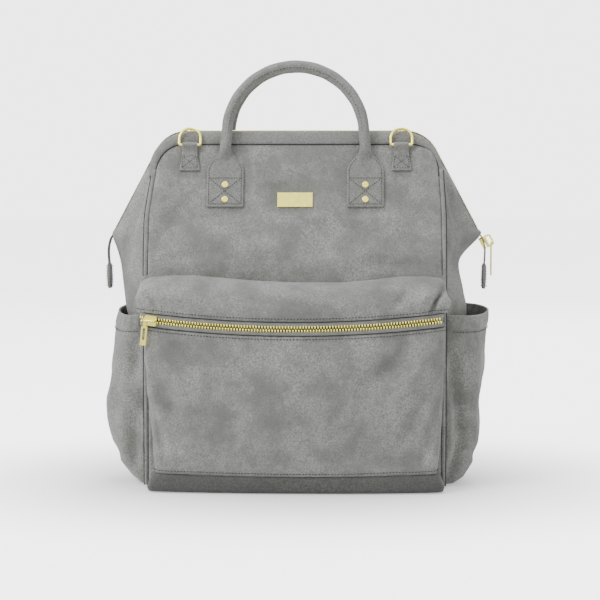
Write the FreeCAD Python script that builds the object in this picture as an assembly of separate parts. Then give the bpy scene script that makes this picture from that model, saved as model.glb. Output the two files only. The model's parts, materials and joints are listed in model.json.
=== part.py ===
"""Frame-mouth diaper backpack: soft panels, wire mouth frames, zips, rings, handles and straps.

Frame: millimetres, +Z up, the front faces -Y, origin on the floor at the middle of the body's base.
The mouth is two halves, front and back, that turn about one line along X through the zip's two ends.
"""

import math
import os

import FreeCAD
import Part
from FreeCAD import Vector

# ---- driving dimensions -------------------------------------------------------------------------
BODY_HALF_W = 163.0        # outer face of a side gusset
BODY_HALF_D = 59.0         # outer face of the lower front and back panels
SHEET = 2.4                # faux leather with its backing
LINING = 0.8
GAP = 0.3                  # between pieces that only touch through a seam
HINGE_Z = 262.0            # height of the line that the mouth's halves turn about
MOUTH_OPEN = 35.0          # degrees that each half can open

# the upper half panels, drawn flat in (x, v, w) and then leaned inwards
HALF_LEAN = 16.0           # degrees that the upper panels lean towards each other
HALF_STEP = 6.0            # an upper panel's foot stands this far inside the lower panel's face
PANEL_RISE = 113.0         # length of the upper panel up its slope, to the band's seam
PANEL_CORNER = 30.0
BAND_RISE = 14.0           # height of the channel band above the seam
BAND_DEPTH = 8.0
BAND_SIDE = 1.5            # the band's reach outside the panel at its sides
BAND_CORNER = 44.0
BAND_LEG = 6.0             # straight length of the band's legs under its corners
WIRE_R = 2.0               # mouth frame wire
WIRE_FIT = 0.1
WIRE_INSET = 4.0           # the wire's leg stands this far inside the panel's side
PIPING_R = 2.4

# the top zip runs over the mouth in the middle plane
TIP_OUT = 40.0             # where the zip ends, outside each side
TIP_UP = 10.0              # and above the halves' line
TIP_LEAN = 28.0            # degrees from upright of the zip's sloping ends
MOUTH_UP = 1.0             # the zip on top stands this far above the band
MOUTH_CORNER = 38.0
CHAIN_HALF = 3.0           # half width of the closed teeth
CHAIN_SPLIT = 0.4          # half the gap that the slider's divider runs in
CHAIN_THICK = 3.6
TAPE_THICK = 0.8
TAPE_HALF = 12.0
CHAIN_START = 6.0          # the teeth begin this far up from the zip's tip

# zip slider, shared by both zips
SLIDER_LONG = 13.0
SLIDER_HALF = 5.4
SLIDER_PLATE = 1.5
SLIDER_CLEAR = 0.4
SLIDER_SLOT = 1.6          # opening between the flanges that the tape leaves by
BRIDGE_R = 1.1
BRIDGE_HALF = 5.6
BRIDGE_RISE = 5.2
TOP_SLIDER_REST = -9.0     # middle of the parked slider, measured up from the zip's tip
PULL_THICK = 1.4

# front pocket
POCKET_TOP_DROP = 30.0     # the pocket's top stands this far below the halves' line
POCKET_BULGE = 45.0        # how far the pocket stands out from the front panel at the zip
POCKET_SAG = 20.0          # the zip's middle stands this far in front of its ends
POCKET_RISE = 9.0          # and this far below them
POCKET_ZIP_DROP = 56.0     # the zip's middle, below the pocket's top
POCKET_SLOT = 7.4          # half height of the slot that the zip fills
POCKET_ZIP_END = 2.5       # the teeth stop this far inside the pocket's side
POCKET_BELLY = [(13, -14), (2, 70), (0, 120)]            # front profile under the zip: distance behind it, height
POCKET_PUFF = [(1, 12), (8, 34.6), (20, 45.6), (38, 54.6)]     # and over it: distance behind it, height over the slot

# side pockets
SIDE_POCKET_Z0 = 6.0
SIDE_POCKET_DROP = 66.0    # the rim stands this far below the halves' line
SIDE_POCKET_INSET = 7.0    # the pouch's edges stand this far inside the body's corners
SIDE_POCKET_BULGE = 48.0

# hardware on the halves
HANDLE_HALF_W = 74.5
HANDLE_R = 6.0
HANDLE_CORE_R = 4.0
HANDLE_LEG = 9.0
HANDLE_LEAN = 10.0
HANDLE_OFF = 8.0           # the handle's centre line stands this far off the panel
PATCH_OUT = 1.5            # the patch's middle stands this far outside the handle's leg
PATCH_HALF_W = 20.0
PATCH_FOOT = 42.0          # up the slope from the panel's foot
PATCH_THICK = 2.6
PATCH_NECK = 9.0           # clear length left between the patch and the handle's pivot
RIVET_R = 3.6
RIVET_PITCH = 16.5
RIVET_HEAD = 1.4
RING_X = 115.0
RING_WIRE_R = 1.5
RING_HALF_W = 11.6         # to the wire's middle
RING_LEG = 7.0
RING_BAR_V = 2.0           # the ring's bar stands this far below the band's seam
TAB_HALF_W = 8.75
TAB_LONG = 29.0
PLATE_W = 38.0
PLATE_H = 16.0
PLATE_V = 50.0
PLATE_THICK = 1.2

# back straps
STRAP_TOP_DROP = 18.0      # the straps' top seam, below the halves' line
STRAP_TOP_X = 42.0
STRAP_HALF_W = 29.0
STRAP_THICK = 9.0
STRAP_STAND = 34.0         # how far the strap stands off the back at its fullest
STRAP_DROP = 148.0         # height of the padded strap, top seam to lower end
STRAP_END_X = 96.0
WEB_HALF_W = 12.5
WEB_THICK = 1.6
ANCHOR_IN = 21.0           # the anchor's middle stands this far inside the body's side
ANCHOR_Z = 26.0

# small fits and edges
HINGE_CLEAR = 3.0          # fixed panels stop this far below the halves' line
GABLE_SPARE = 1.5          # degrees of clearance under the open halves
PIPING_DROP = 16.0         # the lower piping stops this far below the halves' line
LINING_DROP = 8.0
BOARD_THICK = 3.0
BOARD_INSET = 8.0
FOAM_THICK = 5.0
FOAM_INSET = 22.0
FOAM_EDGE = 2.0
WIRE_FOOT = 6.0
WING_FOOT = 3.0
WING_OVER = 5.0            # the wing reaches this far over the foot of the panel's round corner
PATCH_TAPER = 28.0
RIVET_UP = 8.0
RIVET_DOME = 0.9
BAR_FIT = 0.25
EYE_WALL = 1.4
RING_CORNER = 2.0
PLATE_EDGE = 0.4
SLIDER_CORNER = 1.6
DIVIDER_LONG = 4.0
DIVIDER_FIT = 0.15
PULL_BAR_R = 0.75
PULL_FIT = 0.35
PULL_ARM = 2.0
PULL_WINDOW = 9.0
TOP_PULL_LONG = 36.0
TOP_PULL_HALF = 4.0
POCKET_PULL_LONG = 27.0
POCKET_PULL_HALF = 3.4
PULL_HEAD_R = 2.6
PULL_NECK = 6.5
TAIL_LONG = 22.0
TAIL_HALF_D = 9.0
TAIL_DROP = 15.0           # the tail begins this far below the zip's tip
TAIL_THICK = 1.2
END_TAB_LONG = 22.0
END_TAB_HALF_D = 11.0
END_TAB_THICK = 4.4
END_TAB_EDGE = 1.2
YOKE_THICK = 6.0
YOKE_SIDE = 4.0
YOKE_TOP = 5.0             # below the halves' line
YOKE_EDGE = 1.5
STRAP_STEPS = 10
STRAP_TAPER = 0.35
LOCK_LONG = 26.0
LOCK_HALF_W = 17.0
LOCK_THICK = 5.0
LOCK_EDGE = 2.0
LOCK_WINDOW = 8.0
LOCK_BAR = 3.0
LOCK_OUT = 4.0             # the lock's middle stands this far outside the pad's end
ANCHOR_HALF = 20.0
ANCHOR_THICK = 4.2

# ---- derived places -------------------------------------------------------------------------------
PANEL_HALF_W = BODY_HALF_W - 2 * PIPING_R - GAP
HALF_FOOT_D = BODY_HALF_D - HALF_STEP
TIP_HALF_W = BODY_HALF_W + TIP_OUT
TIP_Z = HINGE_Z + TIP_UP
POCKET_HALF_W = BODY_HALF_W
POCKET_TOP_Z = HINGE_Z - POCKET_TOP_DROP
POCKET_ZIP_Z = POCKET_TOP_Z - POCKET_ZIP_DROP
SIDE_POCKET_Z1 = HINGE_Z - SIDE_POCKET_DROP
SIDE_POCKET_HALF_D = BODY_HALF_D - SIDE_POCKET_INSET
STRAP_TOP_Z = HINGE_Z - STRAP_TOP_DROP
STRAP_END_Z = STRAP_TOP_Z - STRAP_DROP
ANCHOR_X = BODY_HALF_W - ANCHOR_IN
BACK_Y = BODY_HALF_D + GAP
FLOOR_Z = SHEET + GAP + BOARD_THICK + GAP
BAND_FOOT = PANEL_RISE + BAND_RISE - BAND_CORNER - BAND_LEG
SLIDER_FACE = CHAIN_THICK / 2 + SLIDER_CLEAR + SLIDER_PLATE
PIVOT_V = PANEL_RISE + 1.0
BAR_V = PANEL_RISE - RING_BAR_V
BAR_W = GAP + PATCH_THICK + RING_WIRE_R

os.makedirs("parts", exist_ok=True)
X_AXIS, Y_AXIS, Z_AXIS = Vector(1, 0, 0), Vector(0, 1, 0), Vector(0, 0, 1)
ORIGIN = Vector(0, 0, 0)
LEAN = math.radians(HALF_LEAN)
TIP = math.radians(TIP_LEAN)


# ---- helpers --------------------------------------------------------------------------------------
def box(x0, x1, y0, y1, z0, z1):
    """Box between two corners."""
    return Part.makeBox(x1 - x0, y1 - y0, z1 - z0, Vector(x0, y0, z0))


def mirrored_x(shape):
    """The same shape on the other side of the middle."""
    return shape.mirror(ORIGIN, X_AXIS)


def mirrored_y(shape):
    """The same shape on the back half."""
    return shape.mirror(ORIGIN, Y_AXIS)


def both_sides(shape):
    """A shape and its mirror image, as a group of separate solids."""
    return Part.makeCompound([shape, mirrored_x(shape)])


def rounded_wire(points, radius, closed=False):
    """Straight runs joined by tangent arcs; radius is one value or one for each point."""
    count = len(points)
    radii = radius if isinstance(radius, list) else [radius] * count
    edges, start, first = [], None, None
    for i, point in enumerate(points):
        if not closed and i in (0, count - 1):
            enter = leave = point
        else:
            back = (points[i - 1] - point).normalize()
            ahead = (points[(i + 1) % count] - point).normalize()
            half = back.getAngle(ahead) / 2
            reach = radii[i] / math.tan(half)
            enter, leave = point + back * reach, point + ahead * reach
            middle = (back + ahead).normalize()
            mid = point + middle * (radii[i] / math.sin(half) - radii[i])
        if start is not None and (enter - start).Length > 1e-6:
            edges.append(Part.makeLine(start, enter))
        if closed or i not in (0, count - 1):
            edges.append(Part.Arc(enter, mid, leave).toShape())
        first = enter if first is None else first
        start = leave
    if closed and (first - start).Length > 1e-6:
        edges.append(Part.makeLine(start, first))
    return Part.Wire(edges)


def rod(wire, radius):
    """Round rod along a wire."""
    edge = wire.Edges[0]
    start = edge.valueAt(edge.FirstParameter)
    along = edge.tangentAt(edge.FirstParameter)
    ring = Part.Wire([Part.makeCircle(radius, start, along)])
    solid = wire.makePipeShell([ring], True, True)
    return solid if solid.Volume > 0 else solid.reversed()


def polygon_face(points):
    """Flat face through a list of points."""
    return Part.Face(Part.makePolygon(points + [points[0]]))


def ruled_band(stations, low, high):
    """Solid through four-cornered stations: each station is (left, right), low and high shift it."""
    wires = []
    for left, right in stations:
        corners = [left + low, right + low, right + high, left + high]
        wires.append(Part.makePolygon(corners + [corners[0]]))
    return Part.makeLoft(wires, True, True)


def leaned(shape):
    """Moves a shape drawn flat in (x, v, w) onto the leaning front half."""
    s, c = math.sin(LEAN), math.cos(LEAN)
    matrix = FreeCAD.Matrix(1, 0, 0, 0, 0, s, -c, -HALF_FOOT_D, 0, c, s, HINGE_Z + 1.0, 0, 0, 0, 1)
    return shape.transformed(matrix)


def leaned_point(x, v, w):
    """The place of a point of the flat half."""
    s, c = math.sin(LEAN), math.cos(LEAN)
    return Vector(x, -HALF_FOOT_D + v * s - w * c, HINGE_Z + 1.0 + v * c + w * s)


def panel_wire(grow, foot=0.0):
    """Open outline of the flat half panel, grown outwards by an offset: up one side, over, down the other."""
    half, top = PANEL_HALF_W + grow, PANEL_RISE + grow
    points = [Vector(-half, foot, 0), Vector(-half, top, 0), Vector(half, top, 0), Vector(half, foot, 0)]
    return rounded_wire(points, PANEL_CORNER + grow)


def panel_face(grow, foot=0.0):
    """The same outline closed along its foot."""
    half = PANEL_HALF_W + grow
    foot_line = Part.makeLine(Vector(half, foot, 0), Vector(-half, foot, 0))
    return Part.Face(Part.Wire(panel_wire(grow, foot).Edges + [foot_line]))


PIVOT = leaned_point(0, PIVOT_V, HANDLE_OFF)


# ---- the top zip's path in the middle plane -------------------------------------------------------
SLOPE = Vector(-math.sin(TIP), 0, math.cos(TIP))          # up the right-hand slope
SLOPE_OUT = Vector(math.cos(TIP), 0, math.sin(TIP))       # away from the bag, square to the slope
TIP_POINT = Vector(TIP_HALF_W, 0, TIP_Z)
MOUTH_Z = leaned_point(0, PANEL_RISE + BAND_RISE, 0).z + MOUTH_UP


def mouth_wire(out, start=0.0):
    """The zip's path shifted outwards, from the left tip over the mouth to the right tip."""
    foot = TIP_POINT + SLOPE * start + SLOPE_OUT * out
    reach = (MOUTH_Z + out - foot.z) / SLOPE.z
    shoulder = foot + SLOPE * reach
    points = [Vector(-foot.x, 0, foot.z), Vector(-shoulder.x, 0, shoulder.z), shoulder, foot]
    return rounded_wire(points, MOUTH_CORNER + out)


def mouth_strip(half_thick, y0, y1, start=0.0):
    """Strip along the zip's path, of a given thickness, between two depths."""
    outer, inner = mouth_wire(half_thick, start), mouth_wire(-half_thick, start)
    ends = []
    for side in (0, -1):
        a, b = outer.OrderedVertexes[side].Point, inner.OrderedVertexes[side].Point
        ends.append(Part.makeLine(a, b))
    face = Part.Face(Part.Wire(Part.__sortEdges__(outer.Edges + inner.Edges + ends)))
    face.translate(Vector(0, y0, 0))
    return face.extrude(Vector(0, y1 - y0, 0))


# ---- body shell -------------------------------------------------------------------------------------
def base_panel():
    """Bottom skin that the bag stands on."""
    return box(-BODY_HALF_W, BODY_HALF_W, -BODY_HALF_D, BODY_HALF_D, 0, SHEET)


def base_board():
    """Stiff board on top of the bottom skin."""
    x, y = BODY_HALF_W - BOARD_INSET, BODY_HALF_D - BOARD_INSET
    return box(-x, x, -y, y, SHEET + GAP, SHEET + GAP + BOARD_THICK)


def lower_panel():
    """Lower front panel, behind the front pocket; its top stops under the mouth's turning half."""
    half = BODY_HALF_W - 2 * PIPING_R - GAP
    return box(-half, half, -BODY_HALF_D, -BODY_HALF_D + SHEET, SHEET + GAP, HINGE_Z - HINGE_CLEAR)


def lower_piping():
    """Corded edges down the sides of the lower front panel."""
    x, y = BODY_HALF_W - PIPING_R, -BODY_HALF_D + PIPING_R
    foot = SHEET + GAP
    cord = Part.makeCylinder(PIPING_R, HINGE_Z - PIPING_DROP - foot, Vector(x, y, foot))
    return both_sides(cord)


def gusset(side):
    """Side wall with a gable top that clears the halves as they open; side is 1 for right."""
    half = BODY_HALF_D - 2 * PIPING_R - GAP
    drop = half * math.tan(math.radians(MOUTH_OPEN + GABLE_SPARE))
    peak, foot = HINGE_Z - HINGE_CLEAR, SHEET + GAP
    x = BODY_HALF_W - SHEET
    outline = [Vector(x, -half, foot), Vector(x, half, foot), Vector(x, half, peak - drop),
               Vector(x, 0, peak), Vector(x, -half, peak - drop)]
    wall = polygon_face(outline).extrude(Vector(SHEET, 0, 0))
    return wall if side > 0 else mirrored_x(wall)


def lining():
    """Open-topped inner lining of the main compartment, its corners rounded to clear the piping."""
    x, y = BODY_HALF_W - SHEET - GAP, BODY_HALF_D - SHEET - GAP
    top = HINGE_Z - BODY_HALF_D * math.tan(math.radians(MOUTH_OPEN)) - LINING_DROP
    corner = (PIPING_R + GAP) / (math.sqrt(2) - 1)
    walls = []
    for inset, low, high in ((0.0, FLOOR_Z, top), (LINING, FLOOR_Z + LINING, top + 1)):
        room = box(-x + inset, x - inset, -y + inset, y - inset, low, high)
        upright = [e for e in room.Edges if abs(e.tangentAt(e.FirstParameter).z) > 0.9]
        walls.append(room.makeFillet(corner - inset, upright))
    return walls[0].cut(walls[1])


def back_foam():
    """Foam pad on the back, under the straps."""
    half = BODY_HALF_W - FOAM_INSET
    pad = box(-half, half, BACK_Y, BACK_Y + FOAM_THICK, ANCHOR_Z + ANCHOR_HALF + GAP, STRAP_TOP_Z - FOAM_INSET)
    return pad.makeFillet(FOAM_EDGE, [e for e in pad.Edges if e.BoundBox.YMin > BACK_Y + FOAM_THICK - 0.1])


# ---- upper halves -----------------------------------------------------------------------------------
def upper_panel():
    """Upper front panel with rounded shoulders."""
    return leaned(panel_face(0.0).extrude(Vector(0, 0, -SHEET)))


def wire_path():
    """Centre line of the mouth frame: up one side, over the mouth in the band, down the other."""
    half, top = PANEL_HALF_W - WIRE_INSET, PANEL_RISE + BAND_RISE / 2
    w = -SHEET - GAP - WIRE_R - WIRE_FIT
    points = [Vector(-half, WIRE_FOOT, w), Vector(-half, top, w), Vector(half, top, w), Vector(half, WIRE_FOOT, w)]
    return rounded_wire(points, PANEL_CORNER)


def mouth_frame():
    """Steel wire that holds one half of the mouth."""
    return leaned(rod(wire_path(), WIRE_R))


def band():
    """Channel band over the frame wire, between the panel's top seam and the zip tape."""
    top, foot = PANEL_RISE + BAND_RISE, BAND_FOOT
    half = PANEL_HALF_W + BAND_SIDE
    points = [Vector(-half, foot, 0), Vector(-half, top, 0), Vector(half, top, 0), Vector(half, foot, 0)]
    outline = rounded_wire(points, BAND_CORNER)
    foot_line = Part.makeLine(points[3], points[0])
    strip = Part.Face(Part.Wire(outline.Edges + [foot_line])).extrude(Vector(0, 0, -BAND_DEPTH))
    window = panel_face(GAP, -20.0).extrude(Vector(0, 0, -BAND_DEPTH - 2))
    window.translate(Vector(0, 0, 1))
    return leaned(strip.cut(window).cut(rod(wire_path(), WIRE_R + WIRE_FIT)))


def upper_piping():
    """Corded edges up the sides of the upper panel, to the band's foot."""
    x = PANEL_HALF_W + GAP + PIPING_R
    cord = Part.makeCylinder(PIPING_R, BAND_FOOT - GAP - WING_FOOT, Vector(x, WING_FOOT, -PIPING_R / 2), Y_AXIS)
    return leaned(both_sides(cord))


def wing(side):
    """Folded gusset wing from the panel's side out to the zip's slope."""
    edge_x = PANEL_HALF_W + 2 * PIPING_R + 2 * GAP
    stations = []
    for v in (WING_FOOT, PANEL_RISE - PANEL_CORNER + WING_OVER):
        near = leaned_point(edge_x, v, -PIPING_R)
        climb = max(near.z, TIP_Z + WING_FOOT) - TIP_Z
        far = TIP_POINT + SLOPE * (climb / SLOPE.z) - Y_AXIS * (TAPE_HALF + GAP + SHEET / 4)
        stations.append((near, far))
    thick = (SLOPE_OUT - Y_AXIS) * (SHEET / 4)
    sheet = ruled_band(stations, -thick, thick)
    return sheet if side > 0 else mirrored_x(sheet)


def top_tape():
    """Woven tape of the front half of the top zip."""
    return mouth_strip(TAPE_THICK / 2, -TAPE_HALF, -CHAIN_HALF - 0.1, 2.0)


def top_teeth():
    """The row of teeth on the front tape, as one bar."""
    return mouth_strip(CHAIN_THICK / 2, -CHAIN_HALF, -CHAIN_SPLIT, CHAIN_START)


# ---- what is fixed to a half ------------------------------------------------------------------------
def patches():
    """Flared, flat ends of the handle, sewn and riveted to the panel."""
    top = PIVOT_V - PATCH_NECK
    shoulder = top - PATCH_TAPER
    outline = [Vector(-PATCH_HALF_W, PATCH_FOOT, GAP), Vector(-PATCH_HALF_W, shoulder, GAP),
               Vector(-HANDLE_R - PATCH_OUT, top, GAP), Vector(HANDLE_R + PATCH_OUT, top, GAP),
               Vector(PATCH_HALF_W, shoulder, GAP), Vector(PATCH_HALF_W, PATCH_FOOT, GAP)]
    plate = polygon_face(outline).extrude(Vector(0, 0, PATCH_THICK))
    for v in rivet_heights():
        plate = plate.cut(Part.makeCylinder(RIVET_R / 2, 2 * PATCH_THICK, Vector(0, v, 0)))
    plate.translate(Vector(HANDLE_HALF_W + PATCH_OUT, 0, 0))
    return leaned(both_sides(plate))


def rivet_heights():
    """The two rivets' places up the slope."""
    return [PATCH_FOOT + RIVET_UP, PATCH_FOOT + RIVET_UP + RIVET_PITCH]


def rivets():
    """Domed rivets through the patches."""
    solids = []
    w = GAP + PATCH_THICK
    for v in rivet_heights():
        head = Part.makeCylinder(RIVET_R, RIVET_HEAD, Vector(0, v, w))
        head = head.makeFillet(RIVET_DOME, [e for e in head.Edges if e.BoundBox.ZMin > w + RIVET_HEAD - 0.1])
        shank = Part.makeCylinder(RIVET_R / 2 - WIRE_FIT, PATCH_THICK, Vector(0, v, GAP))
        rivet = head.fuse(shank)
        rivet.translate(Vector(HANDLE_HALF_W + PATCH_OUT, 0, 0))
        solids.append(rivet)
    one = Part.makeCompound(solids)
    return leaned(Part.makeCompound(one.Solids + mirrored_x(one).Solids))


def handle_path():
    """Centre line of the handle, from pivot to pivot over the arch, leaning towards the middle."""
    h, tilt = HANDLE_HALF_W, math.radians(HANDLE_LEAN)
    up = Vector(0, math.sin(tilt), math.cos(tilt))
    left, right = Vector(-h, 0, 0) + PIVOT, Vector(h, 0, 0) + PIVOT
    arch_left, arch_right = left + up * HANDLE_LEG, right + up * HANDLE_LEG
    crown = PIVOT + up * (HANDLE_LEG + h)
    legs = [Part.makeLine(left, arch_left), Part.makeLine(arch_right, right)]
    return Part.Wire([legs[0], Part.Arc(arch_left, crown, arch_right).toShape(), legs[1]])


def handle():
    """Rolled handle cover, a tube round the core."""
    return rod(handle_path(), HANDLE_R).cut(rod(handle_path(), HANDLE_CORE_R))


def handle_core():
    """Cord core that keeps the rolled handle round."""
    return rod(handle_path(), HANDLE_CORE_R - WIRE_FIT)


def ring_tab():
    """Folded tab that holds a ring's bar in its eye."""
    foot = BAR_V - TAB_LONG
    strap = box(-TAB_HALF_W, TAB_HALF_W, foot, BAR_V, GAP, GAP + PATCH_THICK)
    start, bore = Vector(-TAB_HALF_W, BAR_V, BAR_W), RING_WIRE_R + BAR_FIT
    eye = Part.makeCylinder(bore + EYE_WALL, 2 * TAB_HALF_W, start, X_AXIS)
    hole = Part.makeCylinder(bore, 2 * TAB_HALF_W, start, X_AXIS)
    floor = box(-TAB_HALF_W, TAB_HALF_W, foot, BAR_V + 3 * bore, GAP - 3 * bore, GAP)
    return strap.fuse(eye).cut(hole).cut(floor)


def ring():
    """Metal D-ring: a straight bar, two legs and a round bow."""
    h, top = RING_HALF_W, BAR_V + RING_LEG + RING_HALF_W
    corners = [Vector(-h, BAR_V, BAR_W), Vector(-h, top, BAR_W), Vector(h, top, BAR_W), Vector(h, BAR_V, BAR_W)]
    bow = h - 0.01
    return rod(rounded_wire(corners, [RING_CORNER, bow, bow, RING_CORNER], True), RING_WIRE_R)


def placed_at_ring(shape, side):
    """Puts a tab or ring, drawn about x = 0, at its place on the half."""
    moved = shape.copy()
    moved.translate(Vector(side * RING_X, 0, 0))
    return leaned(moved)


def name_plate():
    """Plain metal plate in the middle of the front panel."""
    plate = box(-PLATE_W / 2, PLATE_W / 2, PLATE_V - PLATE_H / 2, PLATE_V + PLATE_H / 2, GAP, GAP + PLATE_THICK)
    rim = [e for e in plate.Edges if e.BoundBox.ZMin > GAP + PLATE_THICK - 0.1]
    return leaned(plate.makeFillet(PLATE_EDGE, rim))


# ---- zip sliders ------------------------------------------------------------------------------------
def slider_local():
    """Slider at the origin: runs along X, teeth across Y, its face up Z."""
    inner = CHAIN_THICK / 2 + SLIDER_CLEAR
    half, side = SLIDER_LONG / 2, CHAIN_HALF + SLIDER_CLEAR
    body = box(-half, half, -SLIDER_HALF, SLIDER_HALF, -SLIDER_FACE, SLIDER_FACE)
    body = body.makeFillet(SLIDER_CORNER, [e for e in body.Edges if abs(e.tangentAt(e.FirstParameter).z) > 0.9])
    channel = box(-half, half, -side, side, -inner, inner)
    slots = box(-half, half, -SLIDER_HALF, SLIDER_HALF, -SLIDER_SLOT / 2, SLIDER_SLOT / 2)
    web = CHAIN_SPLIT - DIVIDER_FIT
    divider = box(half - DIVIDER_LONG, half, -web, web, -inner, inner)
    h, foot, rise = BRIDGE_HALF, SLIDER_FACE - BRIDGE_R / 2, SLIDER_FACE + BRIDGE_RISE
    corners = [Vector(-h, 0, foot), Vector(-h, 0, rise), Vector(h, 0, rise), Vector(h, 0, foot)]
    bridge = rod(rounded_wire(corners, 1.5 * BRIDGE_R), BRIDGE_R)
    return body.cut(channel).cut(slots).fuse(divider).fuse(bridge).removeSplitter()


def frame_matrix(x, y, z, place):
    """Matrix that sends the local axes to x, y and z, and the local origin to place."""
    return FreeCAD.Matrix(x.x, y.x, z.x, place.x, x.y, y.y, z.y, place.y, x.z, y.z, z.z, place.z, 0, 0, 0, 1)


TOP_SLIDER_AT = TIP_POINT + SLOPE * TOP_SLIDER_REST


def top_slider():
    """Slider parked below the end of the top zip's teeth, on the right."""
    return slider_local().transformed(frame_matrix(SLOPE, SLOPE.cross(SLOPE_OUT) * -1, SLOPE_OUT, TOP_SLIDER_AT))


PULL_HOLD = BRIDGE_R + PULL_BAR_R + PULL_FIT
TOP_PULL_AT = (TOP_SLIDER_AT + SLOPE_OUT * (SLIDER_FACE + BRIDGE_RISE - PULL_HOLD)
               - SLOPE * (BRIDGE_HALF - PULL_HOLD))


def top_pull():
    """Flat pull hanging from the slider's bridge by the bar of its window."""
    x, z, y, t = TOP_PULL_AT.x, TOP_PULL_AT.z, TOP_PULL_HALF, PULL_BAR_R
    bar = Part.makeCylinder(t, 2 * y, Vector(x, -y, z), Y_AXIS)
    plate = box(x - t, x + t, -y, y, z - TOP_PULL_LONG, z)
    window = box(x - t, x + t, -y + PULL_ARM, y - PULL_ARM, z - PULL_WINDOW, z - t)
    above = box(x - t, x + t, -y + PULL_ARM, y - PULL_ARM, z - t, z)
    return plate.cut(window).cut(above).fuse(bar).removeSplitter()


# ---- front pocket: turned about the axis of the zip's arc ---------------------------------------------
ZIP_FRONT = Vector(0, -BODY_HALF_D - POCKET_BULGE, POCKET_ZIP_Z)
ARC_SAG = math.hypot(POCKET_SAG, POCKET_RISE)
ARC_R = (POCKET_HALF_W ** 2 + ARC_SAG ** 2) / (2 * ARC_SAG)
ARC_IN = Vector(0, POCKET_SAG / ARC_SAG, POCKET_RISE / ARC_SAG)
ARC_AXIS = X_AXIS.cross(ARC_IN)
ARC_CENTRE = ZIP_FRONT + ARC_IN * ARC_R
ARC_HALF = math.degrees(math.asin(POCKET_HALF_W / ARC_R))
ARC_SPARE = 4.0            # degrees past the pocket's sides, cut off flat by them
FRONT_Y = ZIP_FRONT.y
SLOT_LOW, SLOT_HIGH = POCKET_ZIP_Z - POCKET_SLOT, POCKET_ZIP_Z + POCKET_SLOT


def turned(points, half_angle):
    """A profile in the middle plane turned about the arc's axis, the same way to both sides."""
    face = polygon_face([Vector(0, y, z) for y, z in points])
    face.rotate(ARC_CENTRE, ARC_AXIS, -half_angle)
    return face.revolve(ARC_CENTRE, ARC_AXIS, 2 * half_angle)


def pocket_shell(front, roof, floor):
    """Open-backed shell behind a front profile [(out, z)], closed at a roof and a floor if they are given.

    front runs upwards; out is the profile's distance behind the zip's middle.
    """
    skins = []
    for inset in (0.0, SHEET):
        half = POCKET_HALF_W - inset
        face = [(FRONT_Y - SHEET / 2 + out + inset, z) for out, z in front]
        face[0] = (face[0][0], face[0][1] - inset)
        face[-1] = (face[-1][0], face[-1][1] + inset)
        low, high = face[0][1], face[-1][1]
        solid = turned([(0, low)] + face + [(0, high)], ARC_HALF + ARC_SPARE + inset)
        z0 = floor + inset if floor is not None else low - POCKET_SAG
        z1 = roof - inset if roof is not None else high + POCKET_SAG
        skins.append(solid.common(box(-half, half, 2 * FRONT_Y, -BODY_HALF_D - GAP + inset, z0, z1)))
    return skins[0].cut(skins[1])


def pocket_lower():
    """Body of the front pocket, below its zip."""
    return pocket_shell(POCKET_BELLY + [(0, SLOT_LOW)], None, 0.0)


def pocket_upper():
    """Puffed top of the front pocket, above its zip."""
    puff = [(out, SLOT_HIGH + rise) for out, rise in POCKET_PUFF]
    return pocket_shell([(0, SLOT_HIGH)] + puff, POCKET_TOP_Z, None)


ZIP_ANGLE = ARC_HALF - math.degrees((POCKET_ZIP_END + SHEET) / ARC_R)


def zip_row(low, high, half_thick):
    """Strip of the pocket's zip between two heights, along the arc."""
    y0, y1 = FRONT_Y - half_thick, FRONT_Y + half_thick
    z0, z1 = POCKET_ZIP_Z + low, POCKET_ZIP_Z + high
    return turned([(y0, z0), (y1, z0), (y1, z1), (y0, z1)], ZIP_ANGLE)


def pocket_tapes():
    """The pocket zip's two tapes."""
    reach = POCKET_SLOT - GAP
    return Part.makeCompound([zip_row(CHAIN_HALF + 0.1, reach, TAPE_THICK / 2),
                              zip_row(-reach, -CHAIN_HALF - 0.1, TAPE_THICK / 2)])


def pocket_teeth():
    """The pocket zip's two rows of teeth, each as one bar."""
    return Part.makeCompound([zip_row(CHAIN_SPLIT, CHAIN_HALF, CHAIN_THICK / 2),
                              zip_row(-CHAIN_HALF, -CHAIN_SPLIT, CHAIN_THICK / 2)])


SLIDER_ANGLE = ZIP_ANGLE - math.degrees((SLIDER_LONG / 2 + 1.0) / ARC_R)


def at_left_end(shape):
    """Carries a shape from the arc's middle to the slider's rest at the left end."""
    moved = shape.copy()
    moved.rotate(ARC_CENTRE, ARC_AXIS, -SLIDER_ANGLE)
    return moved


def pocket_slider():
    """Slider at the closed, left end of the pocket's zip."""
    place = frame_matrix(X_AXIS, Z_AXIS, Vector(0, -1, 0), ZIP_FRONT)
    return at_left_end(slider_local().transformed(place))


PIN_AT = ZIP_FRONT + Vector(-BRIDGE_HALF, -SLIDER_FACE - PULL_FIT - PULL_THICK / 2, 0)


def pocket_pull():
    """Flat looped pull that hangs from the slider's bridge leg."""
    x, z, half, t = PIN_AT.x, PIN_AT.z, POCKET_PULL_HALF, PULL_THICK
    y0, y1 = PIN_AT.y - t / 2, PIN_AT.y + t / 2
    head = Part.makeCylinder(PULL_HEAD_R, t, Vector(x, y0, z), Y_AXIS)
    neck = box(x - half / 2, x + half / 2, y0, y1, z - PULL_NECK, z)
    blade = box(x - half, x + half, y0, y1, z - POCKET_PULL_LONG, z - PULL_NECK)
    rim = PULL_ARM
    window = box(x - half + rim, x + half - rim, y0, y1, z - POCKET_PULL_LONG + 3 * rim, z - PULL_NECK - rim)
    eye = Part.makeCylinder(BRIDGE_R + PULL_FIT, t, Vector(x, y0, z), Y_AXIS)
    return at_left_end(head.fuse(neck).fuse(blade).cut(window).cut(eye).removeSplitter())


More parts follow.
